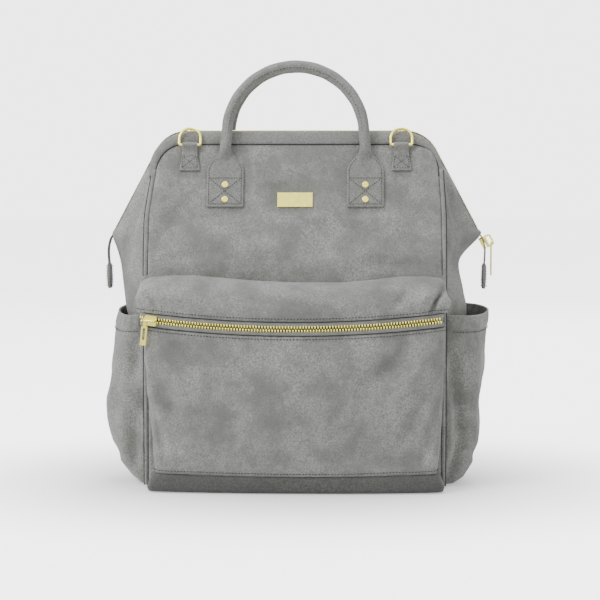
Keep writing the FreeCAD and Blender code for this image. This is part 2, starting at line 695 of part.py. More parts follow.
# ---- zip tails ----------------------------------------------------------------------------------------
def tail_tape(side):
    """Free end of the zip's tape, hanging from the zip's tip."""
    x, top, half = TIP_HALF_W, TIP_Z - TAIL_DROP, TAIL_THICK / 2
    tape = box(x - half, x + half, -TAIL_HALF_D, TAIL_HALF_D, top - TAIL_LONG, top)
    return tape if side > 0 else mirrored_x(tape)


def tail_tab(side):
    """Leather end folded over the tape's free end."""
    x, top, half = TIP_HALF_W, TIP_Z - TAIL_DROP - TAIL_LONG - GAP, END_TAB_THICK / 2
    tab = box(x - half, x + half, -END_TAB_HALF_D, END_TAB_HALF_D, top - END_TAB_LONG, top)
    tab = tab.makeFillet(END_TAB_EDGE, tab.Edges)
    return tab if side > 0 else mirrored_x(tab)


# ---- side pockets ---------------------------------------------------------------------------------------
POUCH_LEVELS = [(0.0, 0.42), (0.3, 0.95), (0.55, 1.0), (1.0, 0.9)]   # height and bulge, as shares


def pouch_section(z, bulge, shrink):
    """Half-oval section of a side pocket at one height, its flat side on the gusset."""
    inside = BODY_HALF_W + GAP - 2 * shrink
    half = SIDE_POCKET_HALF_D - shrink
    peak = Vector(BODY_HALF_W + GAP + bulge - shrink, 0, z)
    arc = Part.Arc(Vector(inside, -half, z), peak, Vector(inside, half, z)).toShape()
    return Part.Wire([arc, Part.makeLine(Vector(inside, half, z), Vector(inside, -half, z))])


def side_pocket(side):
    """Open-topped pouch on a gusset."""
    d, low, high = SIDE_POCKET_HALF_D, SIDE_POCKET_Z0, SIDE_POCKET_Z1
    loft = {}
    for shrink in (0.0, SHEET):
        levels = [(low + share * (high - low), SIDE_POCKET_BULGE * swell) for share, swell in POUCH_LEVELS]
        sections = [pouch_section(z, bulge, shrink) for z, bulge in levels]
        if shrink:
            sections.append(pouch_section(high + SHEET, levels[-1][1], shrink))
        loft[shrink] = Part.makeLoft(sections, True, True)
    room = loft[SHEET].cut(box(0, 2 * BODY_HALF_W, -d, d, 0, low + SHEET))
    pouch = loft[0.0].cut(room)
    return pouch if side > 0 else mirrored_x(pouch)


# ---- back straps ----------------------------------------------------------------------------------------
def strap_point(share):
    """Middle of the strap's inner face, from its top seam (0) to its lower end (1)."""
    swing = 0.5 - 0.5 * math.cos(math.pi * share)
    x = STRAP_TOP_X + (STRAP_END_X - STRAP_TOP_X) * swing
    z = STRAP_TOP_Z + (STRAP_END_Z - STRAP_TOP_Z) * share
    y = BACK_Y + GAP + FOAM_THICK * share + STRAP_STAND * math.sin(math.pi * share) ** 0.8
    return Vector(x, y, z)


def strap_pad(side):
    """Padded shoulder strap, arched off the back."""
    stations = []
    for i in range(STRAP_STEPS + 1):
        middle = strap_point(i / STRAP_STEPS)
        half = STRAP_HALF_W * (1.0 - STRAP_TAPER * (i / STRAP_STEPS) ** 2)
        stations.append((middle - X_AXIS * half, middle + X_AXIS * half))
    pad = ruled_band(stations, ORIGIN, Y_AXIS * STRAP_THICK)
    return pad if side > 0 else mirrored_x(pad)


def strap_yoke():
    """Reinforced patch that the straps' tops are sewn under."""
    half = STRAP_TOP_X + STRAP_HALF_W + YOKE_SIDE
    plate = box(-half, half, BACK_Y, BACK_Y + YOKE_THICK, STRAP_TOP_Z + GAP, HINGE_Z - YOKE_TOP)
    return plate.makeFillet(YOKE_EDGE, [e for e in plate.Edges if e.BoundBox.YMin > BACK_Y + YOKE_THICK - 0.1])


LOCK_AT = Vector(STRAP_END_X + LOCK_OUT, BACK_Y + FOAM_THICK + GAP, STRAP_END_Z - GAP - LOCK_LONG / 2)


def ladder_locks():
    """Plastic adjusters between the pads and the webbing, each with three bars."""
    x, y, z = LOCK_AT
    half, high, t, slot = LOCK_HALF_W, LOCK_LONG / 2, LOCK_THICK, WEB_HALF_W + 1
    lock = box(x - half, x + half, y, y + t, z - high, z + high)
    lock = lock.makeFillet(LOCK_EDGE, [e for e in lock.Edges if abs(e.tangentAt(e.FirstParameter).y) > 0.9])
    for low in (z - high + LOCK_BAR, z + high - LOCK_BAR - LOCK_WINDOW):
        lock = lock.cut(box(x - slot, x + slot, y, y + t, low, low + LOCK_WINDOW))
    return both_sides(lock)


def webbings():
    """Webbing from the base corners up to the ladder locks."""
    top = Vector(LOCK_AT.x, LOCK_AT.y + WEB_THICK, LOCK_AT.z - LOCK_LONG / 2 - GAP)
    low = Vector(ANCHOR_X, BACK_Y + ANCHOR_THICK + GAP, ANCHOR_Z)
    stations = [(point - X_AXIS * WEB_HALF_W, point + X_AXIS * WEB_HALF_W) for point in (top, low)]
    return both_sides(ruled_band(stations, ORIGIN, Y_AXIS * WEB_THICK))


def anchors():
    """Corner tabs sewn into the base, holding the webbing."""
    x, z, y, half, edge = ANCHOR_X, ANCHOR_Z, BACK_Y, ANCHOR_HALF, BODY_HALF_W - SHEET
    outline = [Vector(x - half, y, z - half), Vector(edge, y, z - half), Vector(edge, y, z),
               Vector(x + half / 3, y, z + half), Vector(x - half, y, z + half / 2)]
    return both_sides(polygon_face(outline).extrude(Y_AXIS * ANCHOR_THICK))


# ---- all the nodes ----------------------------------------------------------------------------------------
def half_nodes(name, place):
    """The nodes of one half of the mouth; place puts a front shape on that half."""
    tabs = [placed_at_ring(ring_tab(), side) for side in (-1, 1)]
    nodes = {
        "panel_upper": upper_panel(), "band": band(), "mouth_frame": mouth_frame(),
        "piping_upper": upper_piping(), "wings": Part.makeCompound([wing(-1), wing(1)]),
        "top_zip_tape": top_tape(), "top_zip_teeth": top_teeth(),
        "handle_patches": patches(), "handle_rivets": rivets(), "ring_tabs": Part.makeCompound(tabs),
        "ring_left": placed_at_ring(ring(), -1), "ring_right": placed_at_ring(ring(), 1),
        "handle": handle(), "handle_core": handle_core(),
    }
    return {name + "_" + node: place(shape) for node, shape in nodes.items()}


def all_nodes():
    """Every node of the bag and its shape."""
    nodes = {
        "base_panel": base_panel(), "base_board": base_board(), "lining": lining(),
        "front_panel_lower": lower_panel(), "back_panel_lower": mirrored_y(lower_panel()),
        "front_piping_lower": lower_piping(), "back_piping_lower": mirrored_y(lower_piping()),
        "front_pocket_lower": pocket_lower(), "front_pocket_upper": pocket_upper(),
        "pocket_zip_tapes": pocket_tapes(), "pocket_zip_teeth": pocket_teeth(),
        "pocket_zip_slider": pocket_slider(), "pocket_zip_pull": pocket_pull(),
        "top_zip_slider": top_slider(), "top_zip_pull": top_pull(), "name_plate": name_plate(),
        "back_foam": back_foam(), "strap_yoke": strap_yoke(), "strap_ladder_locks": ladder_locks(),
        "strap_webbing": webbings(), "strap_anchors": anchors(),
    }
    for side, name in ((-1, "left"), (1, "right")):
        nodes["gusset_" + name] = gusset(side)
        nodes["side_pocket_" + name] = side_pocket(side)
        nodes["zip_tail_tape_" + name] = tail_tape(side)
        nodes["zip_tail_tab_" + name] = tail_tab(side)
        nodes["strap_pad_" + name] = strap_pad(side)
    nodes.update(half_nodes("front", lambda shape: shape))
    nodes.update(half_nodes("back", mirrored_y))
    return nodes


if __name__ == "__main__":
    for node, shape in all_nodes().items():
        shape.exportStep("parts/" + node + ".step")
    joints = {"handle pivot": PIVOT, "ring bar": leaned_point(RING_X, BAR_V, BAR_W), "arc centre": ARC_CENTRE,
              "arc axis": ARC_AXIS, "pocket pull pin": at_left_end(Part.Vertex(PIN_AT)).Point,
              "top pull bar": TOP_PULL_AT, "slope": SLOPE, "tip": TIP_POINT}
    for joint, point in joints.items():
        print(joint, [round(value, 5) for value in point])
    print("pocket slider's half turn", round(SLIDER_ANGLE, 4))
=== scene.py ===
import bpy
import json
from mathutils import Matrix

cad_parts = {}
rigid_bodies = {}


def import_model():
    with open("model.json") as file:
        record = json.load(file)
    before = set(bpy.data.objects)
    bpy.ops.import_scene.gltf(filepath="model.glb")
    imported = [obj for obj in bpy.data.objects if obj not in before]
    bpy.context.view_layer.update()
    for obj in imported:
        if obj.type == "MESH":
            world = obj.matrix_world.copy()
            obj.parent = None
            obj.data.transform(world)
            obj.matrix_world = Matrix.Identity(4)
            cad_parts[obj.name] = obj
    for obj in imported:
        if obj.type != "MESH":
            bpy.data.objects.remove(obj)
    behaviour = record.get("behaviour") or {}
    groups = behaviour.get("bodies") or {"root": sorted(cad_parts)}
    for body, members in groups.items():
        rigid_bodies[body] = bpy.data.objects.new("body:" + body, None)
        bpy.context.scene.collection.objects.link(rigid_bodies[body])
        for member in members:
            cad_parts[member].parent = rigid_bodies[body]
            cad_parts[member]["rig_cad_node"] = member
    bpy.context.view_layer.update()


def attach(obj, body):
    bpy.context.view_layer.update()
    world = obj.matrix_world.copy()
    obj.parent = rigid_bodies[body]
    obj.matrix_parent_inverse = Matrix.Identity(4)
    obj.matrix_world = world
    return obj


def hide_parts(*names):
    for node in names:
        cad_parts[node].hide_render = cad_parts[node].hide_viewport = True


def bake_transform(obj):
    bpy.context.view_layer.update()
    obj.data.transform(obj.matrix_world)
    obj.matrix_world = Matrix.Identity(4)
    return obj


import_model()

"""Looks of a soft frame-mouth diaper backpack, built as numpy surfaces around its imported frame.

Sizes in the classes are millimetres in the frame's own axes: +X right, -Y front, +Z up. Meshes are in metres.
"""

import json
import logging
import math
from dataclasses import dataclass
from enum import Enum

import bpy
import numpy as np
from mathutils import Vector

LOG = logging.getLogger("bag")
MM = 0.001
Array = np.ndarray
WORDS = {-1: "left", 1: "right"}        # the bag's two sides


# ---------------------------------------------------------------------------------------------------
# Grid and path tools
# ---------------------------------------------------------------------------------------------------
def unit(vectors: Array) -> Array:
    """Vectors scaled to length one along the last axis."""
    return vectors / np.maximum(np.linalg.norm(vectors, axis=-1, keepdims=True), 1e-9)


def smooth(low: float, high: float, value: Array) -> Array:
    """Smooth step from 0 at low to 1 at high: 3t^2 - 2t^3."""
    t = np.clip((value - low) / (high - low), 0.0, 1.0)
    return t * t * (3 - 2 * t)


def bump(value: Array, centre: float, width: float) -> Array:
    """Bell curve: exp of minus the squared distance over the width."""
    return np.exp(-(((value - centre) / width) ** 2))


def spline(points: list[tuple[float, ...]], count: int) -> Array:
    """Catmull-Rom curve through a few points.

    Args:
        points: The points, of two or three coordinates.
        count: How many samples to return.

    Returns:
        Array (count, dim), evenly spaced by length.
    """
    knots = np.array(points, float)
    ends = np.vstack([2 * knots[0] - knots[1], knots, 2 * knots[-1] - knots[-2]])
    t = np.linspace(0, len(knots) - 1 - 1e-9, 40 * len(knots))
    i = t.astype(int)
    f = (t - i)[:, None]
    a, b, c, d = ends[i], ends[i + 1], ends[i + 2], ends[i + 3]
    curve = 0.5 * (2 * b + (c - a) * f + (2 * a - 5 * b + 4 * c - d) * f**2 + (3 * b - a - 3 * c + d) * f**3)
    return resample(curve, count)


def resample(path: Array, count: int) -> Array:
    """The same path as count points evenly spaced by length."""
    steps = np.linalg.norm(np.diff(path, axis=0), axis=1)
    along = np.concatenate([[0.0], np.cumsum(steps)])
    places = np.linspace(0, along[-1], count)
    return np.stack([np.interp(places, along, path[:, k]) for k in range(path.shape[1])], axis=1)


def length_of(path: Array) -> float:
    """Length of a path."""
    return float(np.linalg.norm(np.diff(path, axis=0), axis=1).sum())


def directions(path: Array) -> Array:
    """Unit direction along a path at each of its points."""
    return unit(np.gradient(path, axis=0))


def ripple(x: Array, z: Array, scale: float, seed: int) -> Array:
    """Soft irregular waves between about -1 and 1: a sum of six sines of random direction and phase.

    Args:
        x: First coordinate.
        z: Second coordinate.
        scale: Typical wave length.
        seed: Picks the waves.

    Returns:
        The waves' height at each point.
    """
    rng = np.random.default_rng(seed)
    turns = rng.uniform(0, math.tau, (6, 2))
    sizes = rng.uniform(0.7, 1.6, 6) * math.tau / scale
    waves = [np.sin(k * (x * math.cos(a) + z * math.sin(a)) + p) for k, (a, p) in zip(sizes, turns)]
    return sum(waves) / 3.0


@dataclass(frozen=True)
class Crease:
    """A fold pressed into a surface, along a straight run on its two coordinates."""

    start: tuple[float, float]
    end: tuple[float, float]
    width: float
    depth: float

    def height(self, x: Array, z: Array) -> Array:
        """Bell-shaped ridge across the run, fading at both ends; depth below zero makes a valley."""
        a, b = np.array(self.start), np.array(self.end)
        run = b - a
        t = ((x - a[0]) * run[0] + (z - a[1]) * run[1]) / (run @ run)
        inside = np.clip(t, 0, 1)
        gap = np.hypot(x - a[0] - inside * run[0], z - a[1] - inside * run[1])
        fade = np.sin(np.pi * np.clip(0.08 + 0.84 * t, 0, 1)) ** 0.7
        return self.depth * fade * np.exp(-((gap / self.width) ** 2))


def folds(creases: list[Crease], x: Array, z: Array) -> Array:
    """Sum of the creases' heights."""
    return sum((crease.height(x, z) for crease in creases), np.zeros_like(x))


def grid_faces(rows: int, columns: int, closed: bool, flip: bool) -> Array:
    """Quads of a grid, each row's last point joined to its first if closed."""
    r = np.arange(rows - 1)[:, None]
    c = np.arange(columns if closed else columns - 1)[None, :]
    n = (c + 1) % columns
    quads = np.stack(np.broadcast_arrays(r * columns + c, r * columns + n, (r + 1) * columns + n,
                                         (r + 1) * columns + c), axis=-1).reshape(-1, 4)
    return quads[:, ::-1] if flip else quads


def make_object(name: str, verts: Array, faces: list[Array], uv: Array | None = None) -> bpy.types.Object:
    """A smooth mesh object at the origin.

    Args:
        name: The piece's name.
        verts: Points in millimetres, (n, 3).
        faces: Tables of faces, each of quads (k, 4) or triangles (k, 3).
        uv: One place per vertex on the material's own plane, or None.

    Returns:
        The new object.
    """
    mesh = bpy.data.meshes.new(name)
    mesh.from_pydata((verts * MM).tolist(), [], [face for table in faces for face in table.tolist()])
    if uv is not None:
        corners = np.concatenate([table.reshape(-1) for table in faces])
        layer = mesh.uv_layers.new(name="UVMap")
        layer.data.foreach_set("uv", uv[corners].astype(np.float32).reshape(-1))
    mesh.polygons.foreach_set("use_smooth", np.ones(len(mesh.polygons), bool))
    mesh.validate()
    mesh.update()
    piece = bpy.data.objects.new(name, mesh)
    bpy.context.scene.collection.objects.link(piece)
    return piece


def sheet_object(name: str, grid: Array, closed: bool = False, flip: bool = False,
                 capped: bool = False) -> bpy.types.Object:
    """A surface on a grid of points.

    Args:
        name: The piece's name.
        grid: Points (rows, columns, 3) in millimetres.
        closed: Whether each row is a ring.
        flip: Whether to turn the faces round.
        capped: Whether the first and last rings are closed by a middle point.

    Returns:
        The new object, with a UV map in metres along its rows and columns.
    """
    rows, columns = grid.shape[:2]
    along = np.linalg.norm(np.diff(grid, axis=0), axis=2).mean(axis=1)
    across = np.linalg.norm(np.diff(grid, axis=1), axis=2).mean(axis=0)
    v = np.concatenate([[0], np.cumsum(along)]) * MM
    u = np.concatenate([[0], np.cumsum(across)]) * MM
    uv = np.stack(np.meshgrid(u, v), axis=-1).reshape(-1, 2)
    verts = grid.reshape(-1, 3)
    faces = [grid_faces(rows, columns, closed, flip)]
    if capped:
        ring = np.arange(columns)
        after = (ring + 1) % columns
        last_row, first_middle = (rows - 1) * columns, rows * columns
        low = np.stack([after, ring, np.full(columns, first_middle)], axis=1)
        high = np.stack([last_row + ring, last_row + after, np.full(columns, first_middle + 1)], axis=1)
        caps = np.vstack([low, high])
        faces.append(caps[:, [1, 0, 2]] if flip else caps)
        verts = np.vstack([verts, grid[0].mean(axis=0), grid[-1].mean(axis=0)])
        uv = np.vstack([uv, uv[:2]])
    return make_object(name, verts, faces, uv)


def solid(name: str, rings: Array, flip: bool = False) -> bpy.types.Object:
    """A closed piece: rings of points joined row to row, with both ends capped."""
    return sheet_object(name, rings, closed=True, flip=flip, capped=True)


def tube(path: Array, normal: Array, half_a: Array | float, half_b: Array | float, sides: int = 16,
         power: Array | float = 2.0) -> Array:
    """Profile carried along a path: a superellipse |a|^p + |b|^p = 1 in each cross plane.

    Args:
        path: Middle line (n, 3).
        normal: Direction of the profile's second axis at each point, (n, 3) or (3,).
        half_a: Half width across the normal.
        half_b: Half width along the normal.
        sides: Points round the profile.
        power: The superellipse's power, 2 for an ellipse.

    Returns:
        Grid (n, sides, 3).
    """
    along = directions(path)
    normal = np.broadcast_to(normal, path.shape)
    up = unit(normal - along * (normal * along).sum(axis=1, keepdims=True))
    side = np.cross(along, up)
    angle = np.arange(sides) / sides * math.tau
    count = len(path)
    p = 2.0 / np.broadcast_to(np.asarray(power, float), (count,))[:, None]
    a = np.broadcast_to(np.asarray(half_a, float), (count,))[:, None]
    b = np.broadcast_to(np.asarray(half_b, float), (count,))[:, None]
    c, s = np.cos(angle)[None, :], np.sin(angle)[None, :]
    across = a * np.sign(c) * np.abs(c) ** p
    height = -b * np.sign(s) * np.abs(s) ** p
    return path[:, None, :] + side[:, None, :] * across[..., None] + up[:, None, :] * height[..., None]


def stamp(name: str, template: tuple[Array, Array], centres: Array, frames: Array) -> bpy.types.Object:
    """Many copies of a small shape as one piece.

    Args:
        name: The piece's name.
        template: The shape's points (k, 3) in millimetres and its faces.
        centres: Place of each copy (n, 3).
        frames: Three axes of each copy (n, 3, 3), one a row.

    Returns:
        The new object.
    """
    points, faces = template
    verts = centres[:, None, :] + np.einsum("ki,nij->nkj", points, frames)
    shift = (np.arange(len(centres)) * len(points))[:, None, None]
    return make_object(name, verts.reshape(-1, 3), [(faces[None] + shift).reshape(-1, faces.shape[1])])


def block_template(size: tuple[float, float, float], taper: float) -> tuple[Array, Array]:
    """Small block with a chamfered top: eight corners and a shrunken upper ring."""
    x, y, z = (value / 2 for value in size)
    ring = np.array([(-x, -y), (x, -y), (x, y), (-x, y)])
    levels = [(-z, taper), (-z * 0.4, 1.0), (z * 0.4, 1.0), (z, taper)]
    verts = np.vstack([np.column_stack([ring * k, np.full(4, h)]) for h, k in levels])
    walls = grid_faces(4, 4, True, False)
    ends = np.array([[3, 2, 1, 0], [12, 13, 14, 15]])
    return verts, np.vstack([walls, ends])


def thread_template(length: float, width: float) -> tuple[Array, Array]:
    """One stitch: a short six-sided spindle, lying along X, half sunk at Z = 0."""
    x = np.array([-0.5, -0.32, 0.0, 0.32, 0.5]) * length
    r = np.array([0.25, 0.85, 1.0, 0.85, 0.25]) * width / 2
    lift = np.array([-0.5, 0.1, 0.35, 0.1, -0.5]) * width
    angle = np.arange(6) / 6 * math.tau
    verts = np.stack([np.broadcast_to(x[:, None], (5, 6)), r[:, None] * np.cos(angle),
                      lift[:, None] + r[:, None] * np.sin(angle)], axis=-1)
    return verts.reshape(-1, 3), grid_faces(5, 6, True, False)


# ---------------------------------------------------------------------------------------------------
# Shared shader effects
# ---------------------------------------------------------------------------------------------------
MIX_SHARE, MIX_FIRST, MIX_SECOND, MIX_COLOUR = 0, 6, 7, 2      # a Mix node's sockets when it mixes colours


class Graph:
    """Adds nodes to a tree and joins them, a line each."""

    def __init__(self, tree: bpy.types.NodeTree) -> None:
        """Keeps the tree."""
        self.tree = tree

    def node(self, kind: str, **values: object) -> bpy.types.Node:
        """A new node; values set its properties where it has them and its sockets otherwise."""
        made = self.tree.nodes.new(kind)
        for key, value in values.items():
            if hasattr(made, key):
                setattr(made, key, value)
            else:
                self.feed(made.inputs[key.replace("_", " ")], value)
        return made

    def feed(self, socket: bpy.types.NodeSocket, value: object) -> None:
        """Joins another socket to this one, or sets its plain value."""
        if isinstance(value, bpy.types.NodeSocket):
            self.tree.links.new(value, socket)
        else:
            socket.default_value = value

    def noise(self, vector: object, scale: object, detail: float = 3.0, rough: float = 0.5
              ) -> bpy.types.NodeSocket:
        """Fractal noise between 0 and 1."""
        made = self.node("ShaderNodeTexNoise", Vector=vector, Scale=scale, Detail=detail, Roughness=rough)
        return made.outputs["Fac"]

    def calc(self, operation: str, first: object, second: object = 0.0) -> bpy.types.NodeSocket:
        """One step of arithmetic."""
        made = self.node("ShaderNodeMath", operation=operation)
        self.feed(made.inputs[0], first)
        self.feed(made.inputs[1], second)
        return made.outputs[0]

    def spread(self, value: object, low: float, high: float) -> bpy.types.NodeSocket:
        """Value mapped from low..high to 0..1, held at the ends and eased."""
        made = self.node("ShaderNodeMapRange", interpolation_type="SMOOTHSTEP")
        self.feed(made.inputs["Value"], value)
        self.feed(made.inputs["From Min"], low)
        self.feed(made.inputs["From Max"], high)
        return made.outputs["Result"]

    def mix(self, share: object, first: object, second: object) -> bpy.types.NodeSocket:
        """First colour turning to the second as the share goes from 0 to 1."""
        made = self.node("ShaderNodeMix", data_type="RGBA")
        self.feed(made.inputs[MIX_SHARE], share)
        self.feed(made.inputs[MIX_FIRST], first)
        self.feed(made.inputs[MIX_SECOND], second)
        return made.outputs[MIX_COLOUR]

    def bumped(self, height: object, distance: float, strength: float, under: object = None
               ) -> bpy.types.NodeSocket:
        """Normal of a surface raised by a height, over another normal if given."""
        made = self.node("ShaderNodeBump", Strength=strength, Distance=distance, Height=height)
        if under is not None:
            self.feed(made.inputs["Normal"], under)
        return made.outputs["Normal"]


def effect(name: str, inputs: dict[str, object], outputs: dict[str, str]) -> tuple[bpy.types.NodeTree, Graph]:
    """A new shader node group with named sockets.

    Args:
        name: The group's name.
        inputs: Name and default of each input; a vector's default is None.
        outputs: Name and socket type of each output.

    Returns:
        The group and a graph on it, with its input and output nodes named "in" and "out".
    """
    group = bpy.data.node_groups.new(name, "ShaderNodeTree")
    for label, value in inputs.items():
        kind = "NodeSocketVector" if value is None else "NodeSocketFloat"
        socket = group.interface.new_socket(name=label, in_out="INPUT", socket_type=kind)
        if value is not None:
            socket.default_value = value
    for label, kind in outputs.items():
        group.interface.new_socket(name=label, in_out="OUTPUT", socket_type=kind)
    graph = Graph(group)
    graph.node("NodeGroupInput").name = "in"
    graph.node("NodeGroupOutput").name = "out"
    return group, graph


class Effect(Enum):
    """The shader effects that the finishes share."""

    CLOUDS = "clouds"
    PEBBLE = "pebble grain"
    WEAVE = "weave"
    WEAR = "edge wear"


def build_clouds() -> bpy.types.NodeTree:
    """Soft uneven tint: broad clouds warped by noise, and a fine speckle over them."""
    group, g = effect("clouds", {"Vector": None, "Cloud Scale": 40.0, "Speckle Scale": 1400.0},
                      {"Cloud": "NodeSocketFloat", "Speckle": "NodeSocketFloat"})
    place, broad, fine = (group.nodes["in"].outputs[k] for k in ("Vector", "Cloud Scale", "Speckle Scale"))
    twist = g.node("ShaderNodeTexNoise", Vector=place, Scale=broad, Detail=2.0)
    bent = g.node("ShaderNodeVectorMath", operation="MULTIPLY_ADD")
    g.feed(bent.inputs[0], twist.outputs["Color"])
    bent.inputs[1].default_value = (0.012, 0.012, 0.012)
    g.feed(bent.inputs[2], place)
    cloud = g.noise(bent.outputs[0], broad, 6.0, 0.62)
    g.feed(group.nodes["out"].inputs["Cloud"], g.spread(cloud, 0.30, 0.70))
    g.feed(group.nodes["out"].inputs["Speckle"], g.spread(g.noise(place, fine, 2.0, 0.7), 0.3, 0.7))
    return group


def build_pebble() -> bpy.types.NodeTree:
    """Fine leather grain: rounded cells with creased borders, broken up by noise."""
    group, g = effect("pebble grain", {"Vector": None, "Scale": 900.0}, {"Height": "NodeSocketFloat"})
    place, scale = group.nodes["in"].outputs["Vector"], group.nodes["in"].outputs["Scale"]
    cells = g.node("ShaderNodeTexVoronoi", feature="DISTANCE_TO_EDGE", Vector=place, Scale=scale)
    rounded = g.spread(cells.outputs["Distance"], 0.0, 0.35)
    fuzz = g.noise(place, g.calc("MULTIPLY", scale, 2.2), 3.0, 0.6)
    g.feed(group.nodes["out"].inputs["Height"], g.calc("ADD", g.calc("MULTIPLY", rounded, 0.6),
                                                      g.calc("MULTIPLY", fuzz, 0.4)))
    return group


def build_weave() -> bpy.types.NodeTree:
    """Plain weave on two axes: product of two sines, its sign telling warp from weft; a second output marks the gaps
    between threads, where shade is painted.
    """
    group, g = effect("weave", {"Vector": None, "Pitch": 0.0008},
                      {"Height": "NodeSocketFloat", "Gap": "NodeSocketFloat"})
    place, pitch = group.nodes["in"].outputs["Vector"], group.nodes["in"].outputs["Pitch"]
    parts = g.node("ShaderNodeSeparateXYZ", Vector=place).outputs
    turn = g.calc("DIVIDE", math.pi, pitch)
    waves = [g.calc("SINE", g.calc("MULTIPLY", parts[k], turn)) for k in ("X", "Y")]
    both = g.calc("MULTIPLY", waves[0], waves[1])
    thread = g.calc("ABSOLUTE", both)
    g.feed(group.nodes["out"].inputs["Height"], g.calc("POWER", thread, 0.5))
    g.feed(group.nodes["out"].inputs["Gap"], g.spread(thread, 0.0, 0.25))
    return group


def build_wear() -> bpy.types.NodeTree:
    """Worn edges: where the surface is sharp and a noise lets it through."""
    group, g = effect("edge wear", {"Vector": None, "Scale": 120.0, "Reach": 0.06},
                      {"Mask": "NodeSocketFloat"})
    place, scale, reach = (group.nodes["in"].outputs[k] for k in ("Vector", "Scale", "Reach"))
    sharp = g.node("ShaderNodeNewGeometry").outputs["Pointiness"]
    top = g.calc("ADD", reach, 0.5)
    made = g.node("ShaderNodeMapRange", Value=sharp)
    g.feed(made.inputs["From Min"], 0.5)
    g.feed(made.inputs["From Max"], top)
    patchy = g.spread(g.noise(place, scale, 4.0, 0.6), 0.35, 0.65)
    g.feed(group.nodes["out"].inputs["Mask"], g.calc("MULTIPLY", made.outputs["Result"], patchy))
    return group


GROUPS: dict[Effect, bpy.types.NodeTree] = {}
BUILDERS = {Effect.CLOUDS: build_clouds, Effect.PEBBLE: build_pebble, Effect.WEAVE: build_weave,
            Effect.WEAR: build_wear}


def use(graph: Graph, kind: Effect, **values: object) -> bpy.types.Node:
    """Places a shared effect in a material, building it the first time."""
    if kind not in GROUPS:
        GROUPS[kind] = BUILDERS[kind]()
    made = graph.node("ShaderNodeGroup", node_tree=GROUPS[kind])
    for key, value in values.items():
        graph.feed(made.inputs[key.replace("_", " ")], value)
    return made


# ---------------------------------------------------------------------------------------------------
# Finishes
# ---------------------------------------------------------------------------------------------------
Colour = tuple[float, float, float, float]


def grey(level: float, warm: float = 0.0) -> Colour:
    """A near-grey linear colour; warm above zero leans to yellow-green, below to blue."""
    return (level, level * (1 + 0.2 * warm), level * (1 - warm), 1.0)


def surface(name: str) -> tuple[bpy.types.Material, Graph, bpy.types.Node, bpy.types.NodeSocket]:
    """A new material, its graph, its surface shader and its object coordinates."""
    material = bpy.data.materials.new(name)
    material.use_nodes = True
    graph = Graph(material.node_tree)
    shader = material.node_tree.nodes["Principled BSDF"]
    place = graph.node("ShaderNodeTexCoord").outputs["Object"]
    return material, graph, shader, place


def vary_rough(graph: Graph, shader: bpy.types.Node, mask: bpy.types.NodeSocket, swing: float,
               least: float) -> None:
    """Roughness that rises from its least value by up to a swing, where the mask is full."""
    graph.feed(shader.inputs["Roughness"], graph.calc("ADD", graph.calc("MULTIPLY", mask, swing), least))


def clouded(graph: Graph, cloud: bpy.types.NodeSocket, level: float, swing: tuple[float, float],
            warm: float = 0.0) -> bpy.types.NodeSocket:
    """A grey that drifts with the clouds between two shares of its level."""
    return graph.mix(cloud, grey(level * swing[0], warm), grey(level * swing[1], warm))


@dataclass(frozen=True)
class Suede:
    """Soft faux leather: clouded grey, fine fuzz, a little sheen, paler where it is rubbed."""

    name: str
    level: float = 0.281
    spread: float = 0.36
    rough: float = 0.78
    warm: float = 0.045
    cloud_scale: float = 26.0
    grain: float = 0.6

    def build(self) -> bpy.types.Material:
        """Makes the material."""
        material, g, shader, place = surface(self.name)
        tint = use(g, Effect.CLOUDS, Vector=place, Cloud_Scale=self.cloud_scale, Speckle_Scale=560.0)
        base = clouded(g, tint.outputs["Cloud"], self.level, (1 - self.spread, 1 + self.spread), self.warm)
        dark = g.calc("MULTIPLY", g.calc("SUBTRACT", 1.0, tint.outputs["Speckle"]), 0.82)
        specked = g.mix(dark, base, grey(self.level * 0.52, self.warm))
        worn = use(g, Effect.WEAR, Vector=place, Scale=90.0, Reach=0.07)
        share = g.calc("MULTIPLY", worn.outputs["Mask"], 0.35)
        g.feed(shader.inputs["Base Color"], g.mix(share, specked, grey(self.level * 1.6, self.warm)))
        pebble = use(g, Effect.PEBBLE, Vector=place, Scale=1100.0)
        soft = g.bumped(g.noise(place, 60.0, 3.0), 0.0012, 0.35)
        g.feed(shader.inputs["Normal"], g.bumped(pebble.outputs["Height"], 0.00025, self.grain, soft))
        vary_rough(g, shader, tint.outputs["Cloud"], 0.10, self.rough - 0.05)
        shader.inputs["Sheen Weight"].default_value = 0.22
        shader.inputs["Sheen Roughness"].default_value = 0.45
        shader.inputs["Specular IOR Level"].default_value = 0.3
        return material


@dataclass(frozen=True)
class PlatedMetal:
    """Brushed plating: fine scratches, faint cloudiness and smudged roughness."""

    name: str
    colour: Colour
    rough: float = 0.27

    def build(self) -> bpy.types.Material:
        """Makes the material."""
        material, g, shader, place = surface(self.name)
        tint = use(g, Effect.CLOUDS, Vector=place, Cloud_Scale=220.0, Speckle_Scale=3000.0)
        dim = tuple(c * 0.82 for c in self.colour[:3]) + (1.0,)
        g.feed(shader.inputs["Base Color"], g.mix(tint.outputs["Cloud"], dim, self.colour))
        stretch = g.node("ShaderNodeMapping", Vector=place)
        stretch.inputs["Scale"].default_value = (260.0, 260.0, 4200.0)
        scratch = g.noise(stretch.outputs[0], 1.0, 3.0)
        g.feed(shader.inputs["Normal"], g.bumped(scratch, 0.00003, 0.4))
        vary_rough(g, shader, tint.outputs["Speckle"], 0.14, self.rough - 0.06)
        shader.inputs["Metallic"].default_value = 1.0
        return material


